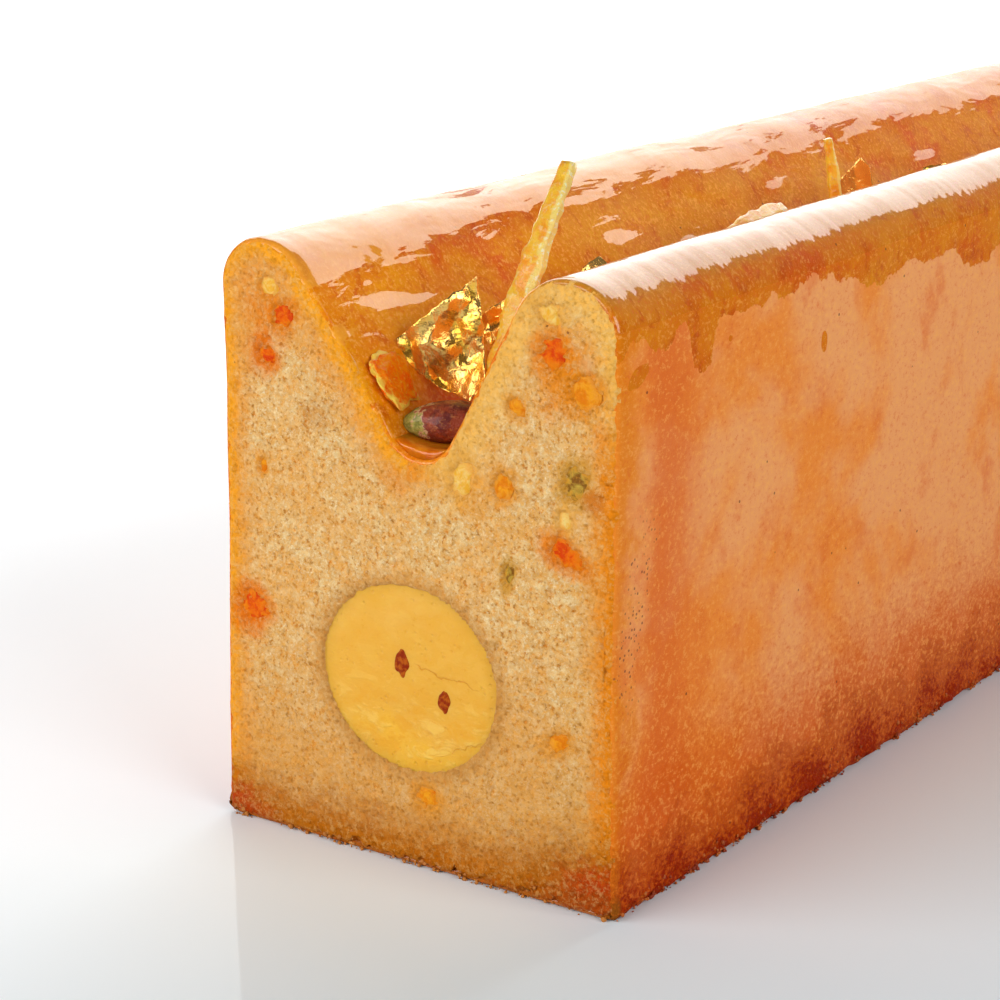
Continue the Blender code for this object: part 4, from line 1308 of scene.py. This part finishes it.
def gold_leaf(name, centre, corners, fold_count, turn, draw, thickness, material):
    """A scrap of gold leaf: a thin crumpled sheet cut to its corners, with sharp folds across it."""
    reach = max(math.hypot(*corner) for corner in corners)
    cells = round(2 * reach / LEAF_CELL) * 6
    bm = bmesh.new()
    bmesh.ops.create_grid(bm, x_segments=cells, y_segments=cells, size=reach)
    for (x1, y1), (x2, y2) in zip(corners, corners[1:] + corners[:1]):
        slice_mesh(bm, (x1, y1, 0), (y2 - y1, x1 - x2, 0), clear=True)
    folds = []
    for _ in range(fold_count):
        angle = draw.uniform(0, math.pi)
        across = Vector((math.cos(angle), math.sin(angle), 0))
        place = across * draw.uniform(-0.55, 0.55) * reach
        slice_mesh(bm, place, across)
        folds.append((across, place, draw.choice((-1, 1)) * draw.uniform(*FOLD_SLOPES)))
    bmesh.ops.remove_doubles(bm, verts=bm.verts, dist=LEAF_CELL / 36)
    for vert in bm.verts:
        flat = vert.co.copy()
        vert.co.z = sum(abs((flat - place).dot(across)) * slope for across, place, slope in folds)
        vert.co.z += noise.noise(flat * 0.3 + Vector((0, 0, reach * 7))) * LEAF_CRUMPLE
        for scale, depth in ((0.22, 0.7), (0.6, 0.16), (1.5, 0.045)):
            vert.co.z -= 2 * depth * abs(noise.noise(flat * scale + Vector((4, scale, reach))))
        vert.co.x += 0.2 * noise.noise(flat * 1.1 + Vector((7, 2, 0)))
        vert.co.y += 0.2 * noise.noise(flat * 1.1 + Vector((1, 8, 0)))
    middle = sum((v.co for v in bm.verts), Vector()) / len(bm.verts)
    bmesh.ops.translate(bm, vec=(0, 0, -middle.z), verts=bm.verts)
    bmesh.ops.scale(bm, vec=(MM, MM, MM), verts=bm.verts)
    bmesh.ops.triangulate(bm, faces=bm.faces)
    set_in_place(bm, bm.verts, centre, turn)
    bmesh.ops.recalc_face_normals(bm, faces=bm.faces)
    bmesh.ops.solidify(bm, geom=bm.faces[:], thickness=thickness)
    return piece_from(bm, name + "_scrap", material, [name])


def build_pool():
    """Syrup that has gathered along the bottom of the groove, lowest at its middle."""
    bm = bmesh.new()
    centre = (GROOVE_X, GROOVE_FLOOR + GROOVE_RADIUS)
    rim = arc(centre, GROOVE_RADIUS - 0.02, 218, 322, 16)
    left, right = rim[0], rim[-1]
    top = []
    for i in range(1, 12):
        t = i / 12
        sag = 0.75 * math.sin(math.pi * t) ** 0.6
        top.append((right[0] + (left[0] - right[0]) * t, right[1] + (left[1] - right[1]) * t - sag))
    verts = [bm.verts.new((x * MM, FRONT + 0.5 * MM, z * MM)) for x, z in rim + top]
    for pair in zip(verts, verts[1:] + verts[:1]):
        bm.edges.new(pair)
    draw_along(bm, BACK - FRONT - MM, 119)
    bmesh.ops.holes_fill(bm, edges=[e for e in bm.edges if e.is_boundary])
    for vert in bm.verts:
        x, y, z = vert.co / MM
        if z > 49.7:
            vert.co.z += noise_at(x, y, 0, 0.12, 3) * 0.3 * MM
        vert.co = ruffled(vert.co)
        vert.co.z -= 0.06 * MM
    return piece_from(bm, "groove_syrup", glaze_material(), [])


CRUMB_DRAWS = 3600
CRUMB_BATCH = 200


def scatter_foot_crumbs():
    """Browned crumbs that cling along the foot of the loaf."""
    draw = random.Random(5)
    bm = bmesh.new()
    whole = bmesh.new()
    for number in range(CRUMB_DRAWS):
        if number % CRUMB_BATCH == CRUMB_BATCH - 1:
            batch = bpy.data.meshes.new("batch")
            bm.to_mesh(batch)
            bm.clear()
            whole.from_mesh(batch)
            bpy.data.meshes.remove(batch)
        run = draw.random()
        size = (0.10 + 0.26 * draw.random() ** 2) * MM
        if run < 0.92:
            side = -1 if run < 0.46 else 1
            x = side * (BASE_HALF_WIDTH + draw.uniform(-0.4, 0.2)) * MM
            y = draw.uniform(FRONT, BACK)
        else:
            x = draw.uniform(-BASE_HALF_WIDTH, BASE_HALF_WIDTH) * MM
            end = FRONT if draw.random() < 0.6 else BACK
            y = end + math.copysign(draw.uniform(-0.1, 0.25) * MM, end)
        if noise_at(x / MM, y / MM, 0, 0.3, 4) < draw.uniform(-0.5, 0.2):
            continue
        z = size * 0.45 + draw.random() ** 2 * 2.2 * MM
        made = bmesh.ops.create_icosphere(bm, subdivisions=1, radius=size)["verts"]
        offset = Vector((draw.uniform(0, 50), 0, 0))
        for vert in made:
            vert.co *= 1 + 0.5 * noise.noise(vert.co / size * 0.9 + offset)
        turn = Euler([draw.uniform(0, math.tau) for _ in range(3)]).to_matrix().to_4x4()
        bmesh.ops.transform(bm, matrix=Matrix.Translation((x, y, z)) @ turn, verts=made)
    bm.free()
    for vert in whole.verts:
        vert.co.z = max(vert.co.z, 0)
    return piece_from(whole, "foot_crumbs", crumbs_material(), [])


# Operators


class CakeOperator(bpy.types.Operator):
    """Base of the operators that build the cake."""

    bl_options = {"REGISTER", "UNDO"}

    def execute(self, context):
        scene = context.scene
        self.build(scene.cake_sizes, scene.cake_colours)
        return {"FINISHED"}


class OBJECT_OT_cake_crust(CakeOperator):
    """Build the glazed crust in place of the plain loaf"""

    bl_idname = "object.cake_crust"
    bl_label = "Crust"

    def build(self, sizes, colours):
        build_crust(sizes, colours)


class OBJECT_OT_cake_cut_faces(CakeOperator):
    """Build the open crumb at both cut ends"""

    bl_idname = "object.cake_cut_faces"
    bl_label = "Cut faces"

    def build(self, sizes, colours):
        cut_face("front_crumb", FRONT, sizes, colours, FRONT_LUMPS, FRONT_STAINS)
        cut_face("back_crumb", BACK, sizes, colours, BACK_LUMPS, ())


class OBJECT_OT_cake_filling(CakeOperator):
    """Build the filling bar and its pips"""

    bl_idname = "object.cake_filling"
    bl_label = "Filling"

    def build(self, sizes, colours):
        build_filling(colours)
        build_pips()


class OBJECT_OT_cake_baked_fruit(CakeOperator):
    """Finish the fruit, peel and nuts baked into the crumb"""

    bl_idname = "object.cake_baked_fruit"
    bl_label = "Baked fruit"

    def build(self, sizes, colours):
        for kind, tones in BAKED.items():
            material = fruit_material(f"baked_{kind}", *tones)
            for prefix, end, rows in (("front", FRONT, FRONT_LUMPS), ("back", BACK, BACK_LUMPS)):
                same = [row for row in rows if row[-1] == kind]
                nodes = [f"{prefix}_{row[0]}" for row in same]
                baked_lumps(f"{prefix}_baked_{kind}", nodes, same, end, material)


class OBJECT_OT_cake_toppings(CakeOperator):
    """Build the peel, pistachios and soft fruit in the groove"""

    bl_idname = "object.cake_toppings"
    bl_label = "Peel, nuts and fruit"

    def build(self, sizes, colours):
        peel = peel_material(colours)
        for name, line, width, thickness, face, twist in STRIPS:
            points = [from_front(*p) for p in line]
            facing = Vector(face).normalized()
            peel_strip(name, points, width * MM, thickness * MM, facing, twist, peel)
        nut = nut_material()
        for name, centre, size, turn in KERNELS:
            kernel(name, from_front(*centre), [s * MM for s in size], turn, nut)
        fruit = fruit_material("soft_fruit", colours.fruit, (0.96, 0.30, 0.003), (1.0, 0.68, 0.10))
        for seed, (name, centre, size, turn) in enumerate(FRUITS, FRUIT_SEED):
            soft_fruit(name, from_front(*centre), [s * MM for s in size], turn, seed, fruit)


class OBJECT_OT_cake_gold(CakeOperator):
    """Build the scraps of gold leaf"""

    bl_idname = "object.cake_gold"
    bl_label = "Gold leaf"

    def build(self, sizes, colours):
        gold = gold_material(colours)
        for name, centre, size, folds, turn, seed in LEAVES:
            draw = random.Random(seed)
            corners = torn_corners(*size, draw) if size else LARGE_LEAF_CORNERS
            gold_leaf(name, from_front(*centre), corners, folds, turn, draw, sizes.leaf, gold)


class OBJECT_OT_cake_syrup_and_crumbs(CakeOperator):
    """Build the syrup in the groove and the crumbs at the foot"""

    bl_idname = "object.cake_syrup_and_crumbs"
    bl_label = "Syrup and crumbs"

    def build(self, sizes, colours):
        build_pool()
        scatter_foot_crumbs()


# Stage

CAMERA_PLACE = (0.1720, -0.3473, 0.1274)
CAMERA_TURN = (35.04, 16.25)
CAMERA_LENS = 95.2


# Soft lights: name, the value that sets how bright, and three corners in metres
PANELS = (
    ("backdrop_light", "backdrop", (-3.0, 1.3, 0.01), (0.30, 1.3, 0.01), (-3.0, 1.3, 1.36)),
    ("front_light", "fill", (-1.4, -0.9, 0.25), (0.0, -1.5, 0.25), (-1.4, -0.9, 1.2)),
    ("side_light", "side", (1.1, -0.8, 0.3), (1.3, 0.3, 0.3), (1.1, -0.8, 1.1)),
)


def add_camera():
    """The camera, looking at the front cut from its right and above."""
    turn, rise = (math.radians(a) for a in CAMERA_TURN)
    right = Vector((math.cos(turn), math.sin(turn), 0))
    level = math.cos(rise)
    back = Vector((math.sin(turn) * level, -math.cos(turn) * level, math.sin(rise)))
    data = bpy.data.cameras.new("camera")
    data.lens = CAMERA_LENS
    data.sensor_width = 36
    data.clip_start = 0.01
    camera = bpy.data.objects.new("camera", data)
    axes = Matrix((right, back.cross(right), back)).transposed()
    camera.matrix_world = Matrix.Translation(CAMERA_PLACE) @ axes.to_4x4()
    bpy.context.scene.collection.objects.link(camera)
    bpy.context.scene.camera = camera


def add_panel(name, corner, width_to, height_to, brightness):
    """A soft panel light with one corner here and the next corners there, as bright as asked."""
    corner, width_to, height_to = Vector(corner), Vector(width_to), Vector(height_to)
    across, up = width_to - corner, height_to - corner
    data = bpy.data.lights.new(name, "AREA")
    data.shape = "RECTANGLE"
    data.size = across.length
    data.size_y = up.length
    data.energy = brightness * math.pi * across.length * up.length
    panel = bpy.data.objects.new(name, data)
    centre = corner + (across + up) / 2
    x_axis, y_axis = across.normalized(), up.normalized()
    z_axis = x_axis.cross(y_axis)
    if z_axis.dot(centre) < 0:
        x_axis, z_axis = -x_axis, -z_axis
    turn = Matrix((x_axis, y_axis, z_axis)).transposed().to_4x4()
    panel.matrix_world = Matrix.Translation(centre) @ turn
    panel.visible_camera = False
    bpy.context.scene.collection.objects.link(panel)
    return panel


def add_floor():
    """A wide white board with a soft shine, painted greyer towards the right as shade beside the
    cake.
    """
    bm = bmesh.new()
    bmesh.ops.create_grid(bm, x_segments=1, y_segments=1, size=4)
    floor = object_from(bm, "floor")
    recipe = Recipe("white_board", Roughness=0.05, IOR=1.12)
    # Painted shade: the board turns greyer and cooler to the right
    colour = recipe.mix(recipe.x.ramp(-70, 60), (0.92, 0.96, 0.98), (0.765, 0.845, 0.885))
    floor.data.materials.append(recipe.finish(Base_Color=colour))


def add_dark_card():
    """A dark card low at the right, seen in shine alone, which keeps the ridge's shine deep."""
    bm = bmesh.new()
    corners = ((150, -100, 0), (150, 1500, 0), (150, 1500, 110), (150, -100, 110))
    bm.faces.new([bm.verts.new(Vector(corner) * MM) for corner in corners])
    card = object_from(bm, "dark_card")
    recipe = Recipe("dark_felt", Roughness=0.9, Specular_IOR_Level=0.0)
    nap = recipe.noise(1.0, 2, 0.5)
    colour = recipe.mix(nap, (0.004, 0.004, 0.004), (0.01, 0.01, 0.01))
    card.data.materials.append(recipe.finish(Base_Color=colour))
    card.visible_camera = False
    card.visible_diffuse = False
    card.visible_shadow = False
    card.visible_transmission = False


def light_room(brightness):
    """Even light from all round, and a white backdrop behind everything."""
    world = bpy.data.worlds.new("studio")
    bpy.context.scene.world = world
    world.use_nodes = True
    tree = world.node_tree
    even = tree.nodes["Background"]
    even.inputs["Color"].default_value = (1, 1, 1, 1)
    even.inputs["Strength"].default_value = brightness
    white = tree.nodes.new("ShaderNodeBackground")
    white.inputs["Strength"].default_value = 1.1
    path = tree.nodes.new("ShaderNodeLightPath")
    choose = tree.nodes.new("ShaderNodeMixShader")
    tree.links.new(path.outputs["Is Camera Ray"], choose.inputs[0])
    tree.links.new(even.outputs[0], choose.inputs[1])
    tree.links.new(white.outputs[0], choose.inputs[2])
    tree.links.new(choose.outputs[0], tree.nodes["World Output"].inputs[0])


class OBJECT_OT_cake_stage(bpy.types.Operator):
    """Set the floor, the soft lights and the camera"""

    bl_idname = "object.cake_stage"
    bl_label = "Stage"

    def execute(self, context):
        light = context.scene.cake_light
        context.scene.view_settings.view_transform = "Standard"
        add_camera()
        add_floor()
        add_dark_card()
        light_room(light.room)
        for name, value, *corners in PANELS:
            add_panel(name, *corners, getattr(light, value))
        return {"FINISHED"}


OPERATORS = (
    OBJECT_OT_cake_stage,
    OBJECT_OT_cake_crust,
    OBJECT_OT_cake_cut_faces,
    OBJECT_OT_cake_filling,
    OBJECT_OT_cake_baked_fruit,
    OBJECT_OT_cake_toppings,
    OBJECT_OT_cake_gold,
    OBJECT_OT_cake_syrup_and_crumbs,
)


class VIEW3D_PT_cake(bpy.types.Panel):
    """Sidebar panel with the cake's values and the operators that build it"""

    bl_label = "Travel cake"
    bl_idname = "VIEW3D_PT_cake"
    bl_space_type = "VIEW_3D"
    bl_region_type = "UI"
    bl_category = "Travel cake"

    def draw(self, context):
        layout = self.layout
        scene = context.scene
        for group in (scene.cake_sizes, scene.cake_colours, scene.cake_light):
            column = layout.column()
            for key in group.__annotations__:
                column.prop(group, key)
        for operator in OPERATORS:
            layout.operator(operator.bl_idname)


CLASSES = (CakeSizes, CakeColours, CakeLight, *OPERATORS, VIEW3D_PT_cake)


def register():
    for cls in CLASSES:
        bpy.utils.register_class(cls)
    bpy.types.Scene.cake_sizes = PointerProperty(type=CakeSizes)
    bpy.types.Scene.cake_colours = PointerProperty(type=CakeColours)
    bpy.types.Scene.cake_light = PointerProperty(type=CakeLight)


def unregister():
    del bpy.types.Scene.cake_light
    del bpy.types.Scene.cake_colours
    del bpy.types.Scene.cake_sizes
    for cls in reversed(CLASSES):
        bpy.utils.unregister_class(cls)


def main():
    register()
    for operator in OPERATORS:
        group, name = operator.bl_idname.split(".")
        getattr(getattr(bpy.ops, group), name)()


if __name__ == "__main__":
    main()
